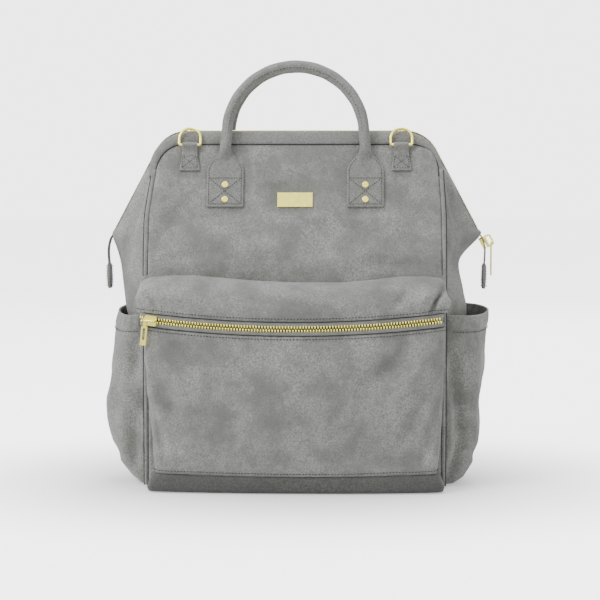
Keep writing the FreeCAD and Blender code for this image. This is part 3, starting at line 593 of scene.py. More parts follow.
@dataclass(frozen=True)
class Woven:
    """Woven cloth or webbing on the piece's own UV map, its threads raised and its gaps darkened as painted shade."""

    name: str
    level: float
    pitch: float
    rough: float = 0.85
    warm: float = -0.01
    mapped: bool = True

    def build(self) -> bpy.types.Material:
        """Makes the material."""
        material, g, shader, place = surface(self.name)
        pattern = g.node("ShaderNodeUVMap", uv_map="UVMap").outputs[0] if self.mapped else place
        weave = use(g, Effect.WEAVE, Vector=pattern, Pitch=self.pitch)
        tint = use(g, Effect.CLOUDS, Vector=place, Cloud_Scale=70.0, Speckle_Scale=1800.0)
        base = clouded(g, tint.outputs["Cloud"], self.level, (0.82, 1.18), self.warm)
        # Painted shade: the gaps between the threads darkened to under half the cloth's level
        gap = grey(self.level * 0.45, self.warm)
        g.feed(shader.inputs["Base Color"], g.mix(weave.outputs["Gap"], gap, base))
        g.feed(shader.inputs["Normal"], g.bumped(weave.outputs["Height"], 0.0003, 0.6))
        vary_rough(g, shader, tint.outputs["Speckle"], 0.1, self.rough - 0.05)
        shader.inputs["Sheen Weight"].default_value = 0.15
        return material


@dataclass(frozen=True)
class Moulded:
    """Moulded plastic, foam or board: a fine texture, soft clouds and rubbed edges."""

    name: str
    level: float
    rough: float
    grain_scale: float
    grain: float
    warm: float = 0.0

    def build(self) -> bpy.types.Material:
        """Makes the material."""
        material, g, shader, place = surface(self.name)
        tint = use(g, Effect.CLOUDS, Vector=place, Cloud_Scale=60.0, Speckle_Scale=1600.0)
        base = clouded(g, tint.outputs["Cloud"], self.level, (0.85, 1.15), self.warm)
        worn = use(g, Effect.WEAR, Vector=place, Scale=150.0, Reach=0.08)
        share = g.calc("MULTIPLY", worn.outputs["Mask"], 0.4)
        g.feed(shader.inputs["Base Color"], g.mix(share, base, grey(min(self.level * 1.8, 0.9), self.warm)))
        pebble = use(g, Effect.PEBBLE, Vector=place, Scale=self.grain_scale)
        g.feed(shader.inputs["Normal"], g.bumped(pebble.outputs["Height"], 0.0003, self.grain))
        vary_rough(g, shader, tint.outputs["Speckle"], 0.12, self.rough - 0.06)
        return material


@dataclass(frozen=True)
class AirMesh:
    """Spacer mesh: rows of round holes in a knitted face, the holes darkened as painted shade."""

    name: str
    level: float = 0.07
    scale: float = 420.0

    def build(self) -> bpy.types.Material:
        """Makes the material."""
        material, g, shader, place = surface(self.name)
        cells = g.node("ShaderNodeTexVoronoi", Vector=place, Scale=self.scale, Randomness=0.25)
        rim = g.spread(cells.outputs["Distance"], 0.22, 0.42)
        tint = use(g, Effect.CLOUDS, Vector=place, Cloud_Scale=45.0, Speckle_Scale=1500.0)
        knit = clouded(g, tint.outputs["Cloud"], self.level, (0.8, 1.3))
        # Painted shade: the holes darkened to a quarter of the knit's level
        g.feed(shader.inputs["Base Color"], g.mix(rim, grey(self.level * 0.25), knit))
        g.feed(shader.inputs["Normal"], g.bumped(rim, 0.0006, 0.8))
        vary_rough(g, shader, tint.outputs["Speckle"], 0.1, 0.8)
        return material


class Finish(Enum):
    """Every finish on the bag."""

    LEATHER = Suede("grey suede leather")
    TRIM = Suede("trim leather", level=0.262, spread=0.12, rough=0.72, cloud_scale=50.0)
    # Painted shade: the grey leather copied at under half its level, for the downward-facing base and the pocket's
    # foot
    BASE = Suede("base leather", level=0.104, spread=0.18)
    GOLD = PlatedMetal("pale gold plating", (1.0, 0.90, 0.22, 1.0))
    STEEL = PlatedMetal("steel wire", (0.50, 0.51, 0.53, 1.0), 0.35)
    # The dark thread of the stitches; the same finish also colours the painted shadow lines laid in the seams
    THREAD = Woven("sewing thread", 0.018, 0.0004, mapped=False)
    TAPE = Woven("zip tape cloth", 0.27, 0.0007, warm=0.045)
    LINING = Woven("lining cloth", 0.36, 0.0009, mapped=False)
    WEBBING = Woven("strap webbing", 0.06, 0.0016)
    PLASTIC = Moulded("buckle plastic", 0.03, 0.42, 1400.0, 0.25)
    BOARD = Moulded("stiffener board", 0.12, 0.8, 700.0, 0.5)
    CORE = Moulded("cord core", 0.55, 0.85, 900.0, 0.6, 0.04)
    FOAM = AirMesh("back spacer mesh")


MATERIALS: dict[Finish, bpy.types.Material] = {}
NODE_OBJECTS = {o["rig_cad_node"]: o.name for o in bpy.context.scene.objects if "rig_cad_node" in o}


def dress(piece: bpy.types.Object, finish: Finish) -> None:
    """Gives a piece its finish, building it the first time."""
    if finish not in MATERIALS:
        MATERIALS[finish] = finish.value.build()
    if not piece.material_slots:
        piece.data.materials.append(MATERIALS[finish])
    for place in piece.material_slots:
        place.material = MATERIALS[finish]


def keep(node: str, finish: Finish) -> None:
    """Gives a shown frame node its finish."""
    dress(bpy.data.objects[NODE_OBJECTS[node]], finish)
    LOG.info("kept %s in %s", node, finish.value.name)


def finished(piece: bpy.types.Object, finish: Finish, nodes: tuple[str, ...]) -> None:
    """Gives a piece its finish and hides the frame nodes it stands for."""
    if nodes:
        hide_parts(*nodes)
    dress(piece, finish)


def seat(piece: bpy.types.Object, body: str, finish: Finish, nodes: tuple[str, ...] = ()) -> None:
    """Makes a piece ride on a body and finishes it."""
    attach(piece, body)
    finished(piece, finish, nodes)
    LOG.info("%s rides on %s with %d faces", piece.name, body, len(piece.data.polygons))


def seat_across(piece: bpy.types.Object, bodies: tuple[str, str], finish: Finish,
                nodes: tuple[str, ...] = ()) -> None:
    """Bakes a piece's placement into its mesh and finishes it; the two bodies are only named in the log."""
    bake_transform(piece)
    finished(piece, finish, nodes)
    LOG.info("%s bends from %s to %s with %d faces", piece.name, *bodies, len(piece.data.polygons))


def thicken(piece: bpy.types.Object, thick: float) -> bpy.types.Object:
    """Gives a sheet its thickness inwards, in millimetres."""
    wall = piece.modifiers.new("wall", "SOLIDIFY")
    wall.thickness = thick * MM
    wall.offset = -1.0
    return piece


def rounded(points: list[tuple[float, ...]], radii: list[float], step: float = 2.0) -> Array:
    """Straight runs joined by tangent arcs, sampled evenly.

    Args:
        points: Corners of the line, of two or three coordinates.
        radii: Arc radius at each inner corner.
        step: Distance between samples.

    Returns:
        The sampled line.
    """
    knots = np.array(points, float)
    parts = [knots[:1]]
    for corner, radius, before, after in zip(knots[1:-1], radii, knots[:-2], knots[2:]):
        back, ahead = unit(before - corner), unit(after - corner)
        half = math.acos(float(np.clip(back @ ahead, -1, 1))) / 2
        middle = unit(back + ahead)
        centre = corner + middle * (radius / math.sin(half))
        turn = np.linspace(-(math.pi / 2 - half), math.pi / 2 - half, 24)[:, None]
        side = unit(ahead - back)
        parts.append(centre + radius * (-middle * np.cos(turn) + side * np.sin(turn)))
    parts.append(knots[-1:])
    line = np.vstack(parts)
    return resample(line, max(8, int(length_of(line) / step)))


class StitchSet:
    """Collects rows of stitches that ride on one body and makes them one piece."""

    def __init__(self, name: str, long: float = 2.3, wide: float = 0.8) -> None:
        """Keeps the piece's name and the stitch's size."""
        self.name, self.long, self.wide = name, long, wide
        self.centres: list[Array] = []
        self.frames: list[Array] = []

    def row(self, path: Array, normal: Array, pitch: float = 3.4) -> None:
        """Adds a row along a path, lying on a surface of the given normal.

        Args:
            path: Points the row follows.
            normal: The surface's normal, one or one for each point.
            pitch: Distance from stitch to stitch.
        """
        count = max(2, int(length_of(path) / pitch))
        both = resample(np.hstack([path, np.broadcast_to(normal, path.shape)]), 4 * count)
        steps = np.concatenate([[0], np.cumsum(np.linalg.norm(np.diff(both[:, :3], axis=0), axis=1))])
        at = np.linspace(0.5 * pitch, steps[-1] - 0.5 * pitch, count)
        both = np.stack([np.interp(at, steps, both[:, k]) for k in range(6)], axis=1)
        along = directions(both[:, :3])
        up = unit(both[:, 3:] - along * (both[:, 3:] * along).sum(axis=1, keepdims=True))
        self.centres.append(both[:, :3])
        self.frames.append(np.stack([along, np.cross(up, along), up], axis=1))

    def build(self, body: str) -> None:
        """Makes the rows one piece that rides on a body."""
        piece = stamp(self.name, thread_template(self.long, self.wide), np.vstack(self.centres),
                      np.vstack(self.frames))
        seat(piece, body, Finish.THREAD)


# ---------------------------------------------------------------------------------------------------
# The bag's own frame of sizes
# ---------------------------------------------------------------------------------------------------
@dataclass(frozen=True)
class Half:
    """Drawing plane of one leaning half of the mouth: x across, v up the slope, w out of the panel."""

    name: str
    side: int                       # -1 front, 1 back
    lean: float = math.radians(16.0)
    foot: float = 53.0
    height: float = 263.0

    def place(self, x: Array, v: Array, w: Array) -> Array:
        """Points of the plane in the frame: y = side (foot - v sin lean + w cos lean), z = height + v cos + w sin."""
        s, c = math.sin(self.lean), math.cos(self.lean)
        x, v, w = np.broadcast_arrays(np.asarray(x, float), v, w)
        return np.stack([x, self.side * (self.foot - v * s + w * c), self.height + v * c + w * s], axis=-1)

    def turning(self, low: tuple[float, float], high: tuple[float, float]) -> tuple[Array, Array]:
        """Two points in the frame at x = 0 on this half's side, from two (depth, height) places."""
        return tuple(np.array([0.0, self.side * depth, height]) for depth, height in (low, high))

    @property
    def outward(self) -> Array:
        """Direction out of the panel."""
        return np.array([0.0, self.side * math.cos(self.lean), math.sin(self.lean)])


HALVES = (Half("front", -1), Half("back", 1))
TURN_FOOT, TURN_TOP = 244.0, 274.0        # heights between which the leather bends onto a half


def drawn_in(x: Array, v: Array) -> Array:
    """x pulled towards the middle up the slope, 4.5% on the left and 1.8% on the right: stretched leather."""
    x, v = np.broadcast_arrays(np.asarray(x, float), v)
    return x * (1 - np.where(x < 0, 0.045, 0.018) * smooth(25.0, 95.0, v))


MOUTH_FOOT = (203.0, 272.0)
MOUTH_TOP = 386.1
MOUTH_TURN = 38.0
SLOPE_ANGLE = math.radians(28.0)
SLOPE = np.array([-math.sin(SLOPE_ANGLE), 0.0, math.cos(SLOPE_ANGLE)])
SLOPE_OUT = np.array([math.cos(SLOPE_ANGLE), 0.0, math.sin(SLOPE_ANGLE)])


def mouth_path(y: float, out: float = 0.0, start: float = 0.0, step: float = 1.3) -> Array:
    """The top zip's line, left tip over the mouth to the right tip: two slopes and a level top joined by arcs."""
    foot = np.array([MOUTH_FOOT[0], y, MOUTH_FOOT[1]]) + SLOPE * start + SLOPE_OUT * out
    top = foot + SLOPE * ((MOUTH_TOP + out - foot[2]) / SLOPE[2])
    flip = np.array([-1.0, 1.0, 1.0])
    return rounded([tuple(foot * flip), tuple(top * flip), tuple(top), tuple(foot)],
                   [MOUTH_TURN + out, MOUTH_TURN + out], step)


# ---------------------------------------------------------------------------------------------------
# Panels, gussets, piping and the mouth's band
# ---------------------------------------------------------------------------------------------------
@dataclass
class PanelSkin:
    """One large panel from the base to the mouth's band, in one sheet over the mouth's turning line."""

    half: Half
    half_width: float = 157.9
    depth: float = 59.0
    foot: float = 2.7
    rise: float = 113.0
    corner: float = 30.0
    thick: float = 2.0
    columns: int = 131

    def middle_line(self) -> tuple[Array, Array]:
        """The panel's line in its middle plane as (y, z) points, and how far each is up the upper half."""
        h = self.half
        climb = np.linspace(12.0, self.rise, 70)
        upper = h.place(0.0, climb, -0.15)
        bend = spline([(h.side * self.depth, 226.0), (h.side * 58.8, 238.0), (h.side * 57.0, 250.0),
                       (h.side * 54.0, 261.0), tuple(upper[0, 1:]), tuple(upper[1, 1:])], 26)[:-1]
        low = np.column_stack([np.full(34, h.side * self.depth), np.linspace(self.foot, 226.0, 34)])[:-1]
        line = np.vstack([low, bend, upper[2:, 1:]])
        v = np.concatenate([np.zeros(len(line) - len(upper) + 2), climb[2:]])
        return line, v

    def grid(self) -> Array:
        """Rows up the middle line, x = width(v) t; the width shrinks round the shoulders on a circle."""
        line, v = self.middle_line()
        over = np.clip(v - (self.rise - self.corner), 0, self.corner)
        width = self.half_width - self.corner + np.sqrt(np.maximum(self.corner**2 - over**2, 0))
        t = np.linspace(-1, 1, self.columns)
        x = drawn_in(width[:, None] * t[None, :], v[:, None])
        y = np.broadcast_to(line[:, :1], x.shape)
        z = np.broadcast_to(line[:, 1:], x.shape)
        tangent = directions(line)
        normal = np.column_stack([-tangent[:, 1], tangent[:, 0]])
        normal *= np.sign(normal[:, :1] * self.half.side + 1e-9)
        lift = self.relief(x, z) * self.soft_area(x, v[:, None])
        return np.stack([x, y + normal[:, :1] * lift, z + normal[:, 1:] * lift], axis=-1)

    def relief(self, x: Array, z: Array) -> Array:
        """Height of the panel's soft waves and folds."""
        waves = ripple(x, z, 120.0, 3 + self.half.side) * 1.5 + ripple(x, z, 45.0, 9) * 0.45
        return 1.2 + waves + folds(self.creases(), x, z)

    def creases(self) -> list[Crease]:
        """Folds that run from the shoulders and from the pocket's corners."""
        return [Crease((-150, 262), (-112, 318), 9.0, -2.6), Crease((150, 250), (118, 322), 10.0, -2.8),
                Crease((-60, 250), (-20, 268), 12.0, 2.0), Crease((40, 246), (100, 262), 12.0, 2.2),
                Crease((-140, 246), (-80, 256), 7.0, -2.2), Crease((70, 244), (146, 240), 8.0, -2.2),
                Crease((-40, 300), (-100, 258), 16.0, 1.8), Crease((60, 330), (20, 250), 18.0, -1.6)]

    def soft_area(self, x: Array, v: Array) -> Array:
        """1 where the panel is free, falling to 0 under the patches, tabs and plate, and at its edges."""
        free = np.ones(np.broadcast_shapes(x.shape, v.shape))
        spots = [(76.0, 24.0, 38.0, 116.0), (-76.0, 24.0, 38.0, 116.0), (115.0, 13.0, 78.0, 120.0),
                 (-115.0, 13.0, 78.0, 120.0), (0.0, 22.0, 38.0, 62.0)]
        for middle, half, low, high in spots:
            near_x = 1 - smooth(half, half + 9.0, np.abs(x - middle))
            near_v = smooth(low - 9.0, low, v) * (1 - smooth(high, high + 9.0, v))
            free = free * (1 - near_x * near_v)
        edge = 1 - smooth(self.half_width - 12.0, self.half_width, np.abs(x))
        return free * edge * (1 - smooth(self.rise - 10.0, self.rise, v))

    def build(self) -> None:
        """Makes the sheet and finishes it."""
        name = self.half.name
        grid = self.grid()
        piece = thicken(sheet_object(f"{name}_panel_skin", grid, flip=self.half.side > 0), self.thick)
        run = self.half.turning((self.depth, TURN_FOOT), (50.0, TURN_TOP + 2.0))
        seat_across(piece, ("body", f"{name}_half"), Finish.LEATHER,
                    (f"{name}_panel_lower", f"{name}_panel_upper"))


@dataclass
class SideSheet:
    """One quarter of the bag's sides: gusset below and wing above, from the piping to the middle or the zip."""

    half: Half
    side: int                       # -1 left, 1 right
    thick: float = 1.6
    rows: int = 120
    columns: int = 36

    def stations(self) -> tuple[Array, Array]:
        """Matching points up the near edge, along the piping, and up the far edge, at the middle and the zip."""
        h = self.half
        near, far = [], []
        left = (163.0, 164.0, 166.5, 174.0, 186.0, 191.0, 194.0)
        right = (163.0, 164.0, 166.5, 174.0, 187.5, 184.5, 179.5)
        for z, x in zip((2.7, 40.0, 90.0, 140.0, 184.0, 212.0, 238.0), left if self.side < 0 else right):
            near.append((162.7, h.side * 54.3, z))
            far.append((x, 0.0, z))
        near.append((162.8, h.side * 53.4, 252.0))
        far.append((198.0 if self.side < 0 else 184.0, h.side * 3.0, 256.0 if self.side < 0 else 252.0))
        for v in (3.0, 20.0, 38.0, 56.0, 72.0, 86.0, 96.0, 104.0):
            over = max(0.0, (v - 74.0) / 30.0)
            edge = abs(float(drawn_in(self.side * 163.0, v))) - 16.0 * over**2
            point = h.place(edge, v, -2.6 - 4.2 * min(1.0, 1.6 * over))
            near.append(tuple(point))
            climb = max(float(point[2]) - MOUTH_FOOT[1], 1.0) / SLOPE[2]
            tip = np.array([MOUTH_FOOT[0], 0.0, MOUTH_FOOT[1]]) + SLOPE * climb
            far.append((tip[0], h.side * 11.4, tip[2]))
        return spline(near, self.rows), self.matched(near, far)

    def matched(self, near: list[tuple[float, ...]], far: list[tuple[float, ...]]) -> Array:
        """The far edge sampled at the same shares of its stations as the near edge."""
        steps = np.linalg.norm(np.diff(np.array(near), axis=0), axis=1)
        marks = np.concatenate([[0], np.cumsum(steps)]) / steps.sum()
        dense = spline(far, 40 * self.rows)
        knots = np.array(far)
        reach = np.array([np.argmin(np.linalg.norm(dense - knot, axis=1)) for knot in knots])
        index = np.interp(np.linspace(0, 1, self.rows), marks, reach)
        return np.stack([np.interp(index, np.arange(len(dense)), dense[:, k]) for k in range(3)], axis=1)

    def grid(self) -> Array:
        """Section from near to far edge: y runs evenly, x swells on sin^0.85, with folds pressed in."""
        near, far = self.stations()
        t = np.linspace(0, 1, self.columns)[None, :, None]
        flat = near[:, None, :] * (1 - t) + far[:, None, :] * t
        up = smooth(240.0, 290.0, near[:, 2])[:, None]
        swell = np.sin(t[..., 0] * math.pi / 2) ** 0.85 - t[..., 0]
        flat[..., 0] += (far[:, None, 0] - near[:, None, 0]) * swell * (1 - up)
        z = flat[..., 2]
        hollow = -6.5 * bump(z, 262.0, 20.0) * np.sin(np.pi * t[..., 0]) ** 1.2
        fold = -3.2 * bump(t[..., 0] - 0.42 + (z - 290) * 0.004, 0.0, 0.16)
        fold = fold * smooth(255, 285, z) * (1 - smooth(320, 345, z))
        puff = 2.0 * np.sin(np.pi * t[..., 0]) * smooth(290, 330, z) * (1 - smooth(338, 350, z))
        waves = ripple(flat[..., 1], z, 60.0, 11 + self.half.side) * 0.8 * np.sin(np.pi * t[..., 0])
        flat[..., 0] += hollow + fold + puff + waves
        flat[..., 0] *= self.side
        return flat

    def build(self) -> None:
        """Makes the quarter and finishes it."""
        half, word = self.half.name, WORDS[self.side]
        grid = self.grid()
        piece = sheet_object(f"{half}_side_{word}", grid, flip=self.half.side * self.side > 0)
        thicken(piece, self.thick)
        run = self.half.turning((54.0, TURN_FOOT), (47.0, TURN_TOP))
        gusset = (f"gusset_{word}",) if half == "front" else ()
        wings = (f"{half}_wings",) if self.side > 0 else ()
        seat_across(piece, ("body", f"{half}_half"), Finish.LEATHER, gusset + wings)


@dataclass
class Piping:
    """Corded edges of one panel: a leather cord up each side, with a dark painted shadow line along either edge of it.
    """

    half: Half
    middle: float = 160.6
    radius: float = 2.4
    seam_shift: float = 2.75

    def path(self, side: int) -> Array:
        """Centre line from the base to the foot of the band."""
        h = self.half
        low = [(self.middle, h.side * 56.6, z) for z in (2.7, 80.0, 160.0, 225.0)]
        bend = [(self.middle, h.side * 55.6, 244.0), (self.middle, h.side * 53.0, 258.0)]
        high = [tuple(h.place(abs(float(drawn_in(side * self.middle, v))), v, -1.2))
                for v in (10.0, 30.0, 55.0, 72.0, 84.0)]
        line = spline(low + bend + high, 180)
        line[:, 0] *= side
        return line

    def build(self) -> None:
        """Makes the two cords of the panel."""
        h, name = self.half, self.half.name
        bodies, run = ("body", f"{name}_half"), h.turning((57.0, TURN_FOOT), (49.0, TURN_TOP))
        for side, word in WORDS.items():
            line = self.path(side)
            step = np.arange(len(line))
            radius = self.radius * (1 + 0.025 * np.sin(step * 0.9) + 0.02 * np.sin(step * 0.23))
            grid = tube(line, np.array([0.0, h.side * 1.0, 0.2]), radius, radius, 14)
            piece = solid(f"{name}_piping_{word}", grid)
            nodes = (f"{name}_piping_lower", f"{name}_piping_upper") if side > 0 else ()
            seat_across(piece, bodies, Finish.TRIM, nodes)
            # A dark tube each side of the cord: painted shadow lines for the seam grooves
            for shift, edge in ((-self.seam_shift, "inner"), (self.seam_shift, "outer")):
                beside = line + np.array([side * shift, h.side * 0.35, 0.0])
                seam = shadow_line(f"{name}_piping_seam_{edge}_{word}", beside, np.array([0.0, 1.0, 0.0]))
                seat_across(seam, bodies, Finish.THREAD)


def shadow_line(name: str, path: Array, normal: Array, radius: float = 0.55) -> bpy.types.Object:
    """A thin dark tube in the thread's finish lying in a seam: a painted shadow line that stands in for the seam's
    shaded groove.
    """
    return solid(name, tube(path, normal, radius, radius, 6))


@dataclass
class MouthBand:
    """Channel band round the mouth's frame wire: a folded strip with a rounded face, and a dark painted shadow line
    along its sunk seam.
    """

    half: Half
    foot: float = 77.0
    deep: float = 8.0

    def edges(self) -> tuple[Array, Array]:
        """Matched inner and outer outlines in (x, v): legs, round corners and the top."""
        lines = []
        for half_width, top, radius in ((158.0, 112.6, 30.0), (159.6, 128.0, 44.0)):
            turn = np.linspace(0, math.pi / 2, 26)
            leg = np.column_stack([np.full(6, -half_width), np.linspace(self.foot, top - radius, 6)])[:-1]
            arc = np.column_stack([-half_width + radius - radius * np.cos(turn),
                                   top - radius + radius * np.sin(turn)])
            left = np.vstack([leg, arc])
            right = left[::-1] * np.array([-1.0, 1.0])
            middle = np.column_stack([np.linspace(left[-1, 0], right[0, 0], 90), np.full(90, top)])[1:-1]
            lines.append(np.vstack([left, middle, right]))
        lines[0][:, 0] = drawn_in(lines[0][:, 0], lines[0][:, 1])
        return lines[0], lines[1]

    def build(self) -> None:
        """Makes the band: each ring goes over the face on a half sine, round the rim and back underneath."""
        inner, outer = self.edges()
        q = np.concatenate([np.linspace(0, 1, 13), [1.03, 1.03], np.linspace(1.0, 0.0, 7), [-0.02]])
        face = np.sin(np.pi * np.linspace(0, 1, 13)) ** 0.55 * 2.3 - 1.0
        w = np.concatenate([face, [-3.0, -6.5], np.full(7, -self.deep), [-4.0]])
        flat = inner[:, None, :] * (1 - q[None, :, None]) + outer[:, None, :] * q[None, :, None]
        wide = smooth(1.0, 9.0, np.linalg.norm(outer - inner, axis=1))[:, None]
        soft = 0.25 * ripple(flat[..., 0], flat[..., 1], 40.0, 5) * (w[None, :] > -1)
        height = np.where(w[None, :] > -1, w[None, :] * wide + soft * wide, w[None, :])
        grid = self.half.place(flat[..., 0], flat[..., 1], height)
        name = self.half.name
        piece = solid(f"{name}_mouth_band", grid, flip=self.half.side < 0)
        seat(piece, f"{name}_half", Finish.TRIM, (f"{name}_band",))
        # A dark tube along the band's inner edge: a painted shadow line for the groove under the band
        sunk = self.half.place(inner[:, 0], inner[:, 1] + 0.1, 0.15)
        seam = shadow_line(f"{name}_band_seam", sunk, self.half.outward, 0.6)
        seat(seam, f"{name}_half", Finish.THREAD)
        self.facing(outer)

    def facing(self, outer: Array) -> None:
        """Strip inside the mouth that joins the band's back to the zip's tape.

        Args:
            outer: The band's outer outline (n, 2).
        """
        name = self.half.name
        leg = np.column_stack([np.full(13, outer[0, 0]), np.linspace(22.0, self.foot, 14)[:-1]])
        rim = np.vstack([leg, outer, leg[::-1] * np.array([-1.0, 1.0])])
        inside = self.half.place(rim[:, 0] * 0.985, rim[:, 1] - 7.0, -self.deep - 0.6)
        edge = self.half.place(rim[:, 0], rim[:, 1] + 0.4, -self.deep)
        tape = mouth_path(self.half.side * 8.0, -0.9, 2.0)
        gap = np.linalg.norm(edge[:, None, [0, 2]] - tape[None, :, [0, 2]], axis=2)
        under = tape[np.argmin(gap, axis=1)]
        share = np.linspace(0, 1, 9)[None, :, None]
        grid = ((1 - share) ** 2 * inside[:, None] + 2 * share * (1 - share) * edge[:, None]
                + share**2 * under[:, None])
        piece = thicken(sheet_object(f"{name}_mouth_facing", grid, flip=self.half.side > 0), 0.4)
        seat(piece, f"{name}_half", Finish.LINING)


# ---------------------------------------------------------------------------------------------------
# Zips
# ---------------------------------------------------------------------------------------------------
ARC_CENTRE = np.array([0.0, 458.37006, 429.06653])
ARC_IN = np.array([0.0, 0.91192, 0.41036])
ARC_AXIS = np.array([0.0, -0.41036, 0.91192])


def pocket_arc(x: Array, y: Array, z: Array) -> Array:
    """Turns a middle-plane point (y, z) about the pocket's axis until it stands at x.

    With r its distance inwards from the axis and h its height along it, the point is
    centre + h axis + x across - sqrt(r^2 - x^2) inward.
    """
    x, y, z = np.broadcast_arrays(np.asarray(x, float), y, z)
    dy, dz = y - ARC_CENTRE[1], z - ARC_CENTRE[2]
    reach = -(dy * ARC_IN[1] + dz * ARC_IN[2])
    climb = dy * ARC_AXIS[1] + dz * ARC_AXIS[2]
    inward = np.sqrt(np.maximum(reach**2 - x**2, 0))
    return np.stack([x, ARC_CENTRE[1] + climb * ARC_AXIS[1] - inward * ARC_IN[1],
                     ARC_CENTRE[2] + climb * ARC_AXIS[2] - inward * ARC_IN[2]], axis=-1)


TOOTH = (1.55, 3.0, 3.0)
TOOTH_TOP = 0.68        # width of a tooth's top as a share of its middle


def teeth(name: str, path: Array, across: Array, face: Array, shift: float, pitch: float = 3.1
          ) -> bpy.types.Object:
    """One row of zip teeth: small chamfered blocks standing side by side along a path.

    Args:
        name: The piece's name.
        path: Middle line of the row.
        across: Direction from the tape to the middle of the zip, one or one a point.
        face: Normal of the zip's face, one or one a point.
        shift: Share of the pitch that the row starts at, so that two rows mesh.
        pitch: Distance from tooth to tooth.

    Returns:
        The row as one piece.
    """
    count = int(length_of(path) / pitch) - 1
    steps = np.concatenate([[0], np.cumsum(np.linalg.norm(np.diff(path, axis=0), axis=1))])
    at = (np.arange(count) + 0.5 + shift) * pitch
    data = np.hstack([path, np.broadcast_to(face, path.shape), np.broadcast_to(across, path.shape)])
    data = np.stack([np.interp(at, steps, data[:, k]) for k in range(9)], axis=1)
    up, side = unit(data[:, 3:6]), unit(data[:, 6:9])
    along = np.cross(side, up)
    return stamp(name, block_template(TOOTH, TOOTH_TOP), data[:, :3], np.stack([along, side, up], axis=1))


@dataclass
class TopZip:
    """Both halves of the zip over the mouth: a woven tape and a row of teeth on each."""

    tape_half: float = 5.1
    tape_middle: float = 7.5
    tooth_middle: float = 1.85

    def outward(self, path: Array) -> Array:
        """Normal of the zip's face: across its run in the middle plane, away from the bag."""
        along = directions(path)
        return unit(np.stack([-along[:, 2], np.zeros(len(path)), along[:, 0]], axis=1))

    def build(self) -> None:
        """Makes tape and teeth for each half, the back row half a pitch on from the front one."""
        for half in HALVES:
            path = mouth_path(half.side * self.tape_middle, 0.0, 2.0)
            tape = solid(f"{half.name}_zip_tape", self.flat_tape(path))
            seat(tape, f"{half.name}_half", Finish.TAPE, (f"{half.name}_top_zip_tape",))
            line = mouth_path(half.side * self.tooth_middle, 0.0, 6.0)
            across = np.array([0.0, -half.side * 1.0, 0.0])
            shift = 0.0 if half.side < 0 else 0.5
            row = teeth(f"{half.name}_zip_teeth", line, across, self.outward(line), shift)
            seat(row, f"{half.name}_half", Finish.GOLD, (f"{half.name}_top_zip_teeth",))

    def flat_tape(self, path: Array) -> Array:
        """Section of the tape: wide across the zip, thin along its face's normal, with soft edges."""
        return tube(path, self.outward(path), self.tape_half, 0.45, 20, 4.0)


@dataclass
class PocketZip:
    """The front pocket's zip on its arc: two tapes and two rows of teeth."""

    front: float = -104.0
    middle: float = 176.0
    end_y: float = -79.0

    def line(self, rise: float) -> Array:
        """The zip's line a rise above its middle, round the pocket's front corners as far as its sides."""
        level = np.array([[self.front, self.middle + rise]])
        ring = FrontPocket().rings(level, np.array([[165.8, 161.2]]), 8.0)[0]
        return resample(ring[ring[:, 1] < self.end_y], 420)

    def facing(self, line: Array) -> Array:
        """Outward normal along the line: its run turned a quarter about the upright."""
        along = directions(line)
        return unit(np.stack([along[:, 1], -along[:, 0], np.zeros(len(line))], axis=1))

    def build(self) -> None:
        """Makes the tapes, the dark painted shadow lines beside them and the teeth."""
        for rise, word in ((5.3, "upper"), (-5.3, "lower")):
            line = self.line(rise)
            grid = tube(line, self.facing(line), 2.6, 0.45, 16, 4.0)
            tape = solid(f"pocket_tape_{word}", grid)
            seat(tape, "body", Finish.TAPE, ("pocket_zip_tapes",) if rise > 0 else ())
            # A dark tube along each tape's outer edge: a painted shadow line for the gap between tape and leather
            edge = self.line(rise * 1.36)
            sunk = edge + self.facing(edge) * 0.9
            dark = shadow_line(f"pocket_zip_seam_{word}", sunk, np.array([0.0, 0.0, 1.0]), 0.5)
            seat(dark, "body", Finish.THREAD)
        for sign, word in ((1, "upper"), (-1, "lower")):
            across = np.array([0.0, 0.0, -sign * 1.0])
            line = self.line(sign * 1.85)
            row = teeth(f"pocket_teeth_{word}", line, across, self.facing(line), 0.0 if sign > 0 else 0.5)
            seat(row, "body", Finish.GOLD, ("pocket_zip_teeth",) if sign > 0 else ())


# ---------------------------------------------------------------------------------------------------
# Front pocket
# ---------------------------------------------------------------------------------------------------
def softened(rings: Array, radius: float) -> Array:
    """Rows of points with their corners rounded: each row blurred by a bell of the given width, ends held."""
    spacing = np.linalg.norm(np.diff(rings, axis=1), axis=2).mean()
    reach = int(3 * radius / spacing) + 1
    weight = np.exp(-0.5 * (np.arange(-reach, reach + 1) * spacing / radius) ** 2)
    weight /= weight.sum()
    first = 2 * rings[:, :1] - rings[:, reach:0:-1]
    last = 2 * rings[:, -1:] - rings[:, -2:-reach - 2:-1]
    padded = np.concatenate([first, rings, last], axis=1)
    return sum(w * padded[:, k:k + rings.shape[1]] for k, w in enumerate(weight))


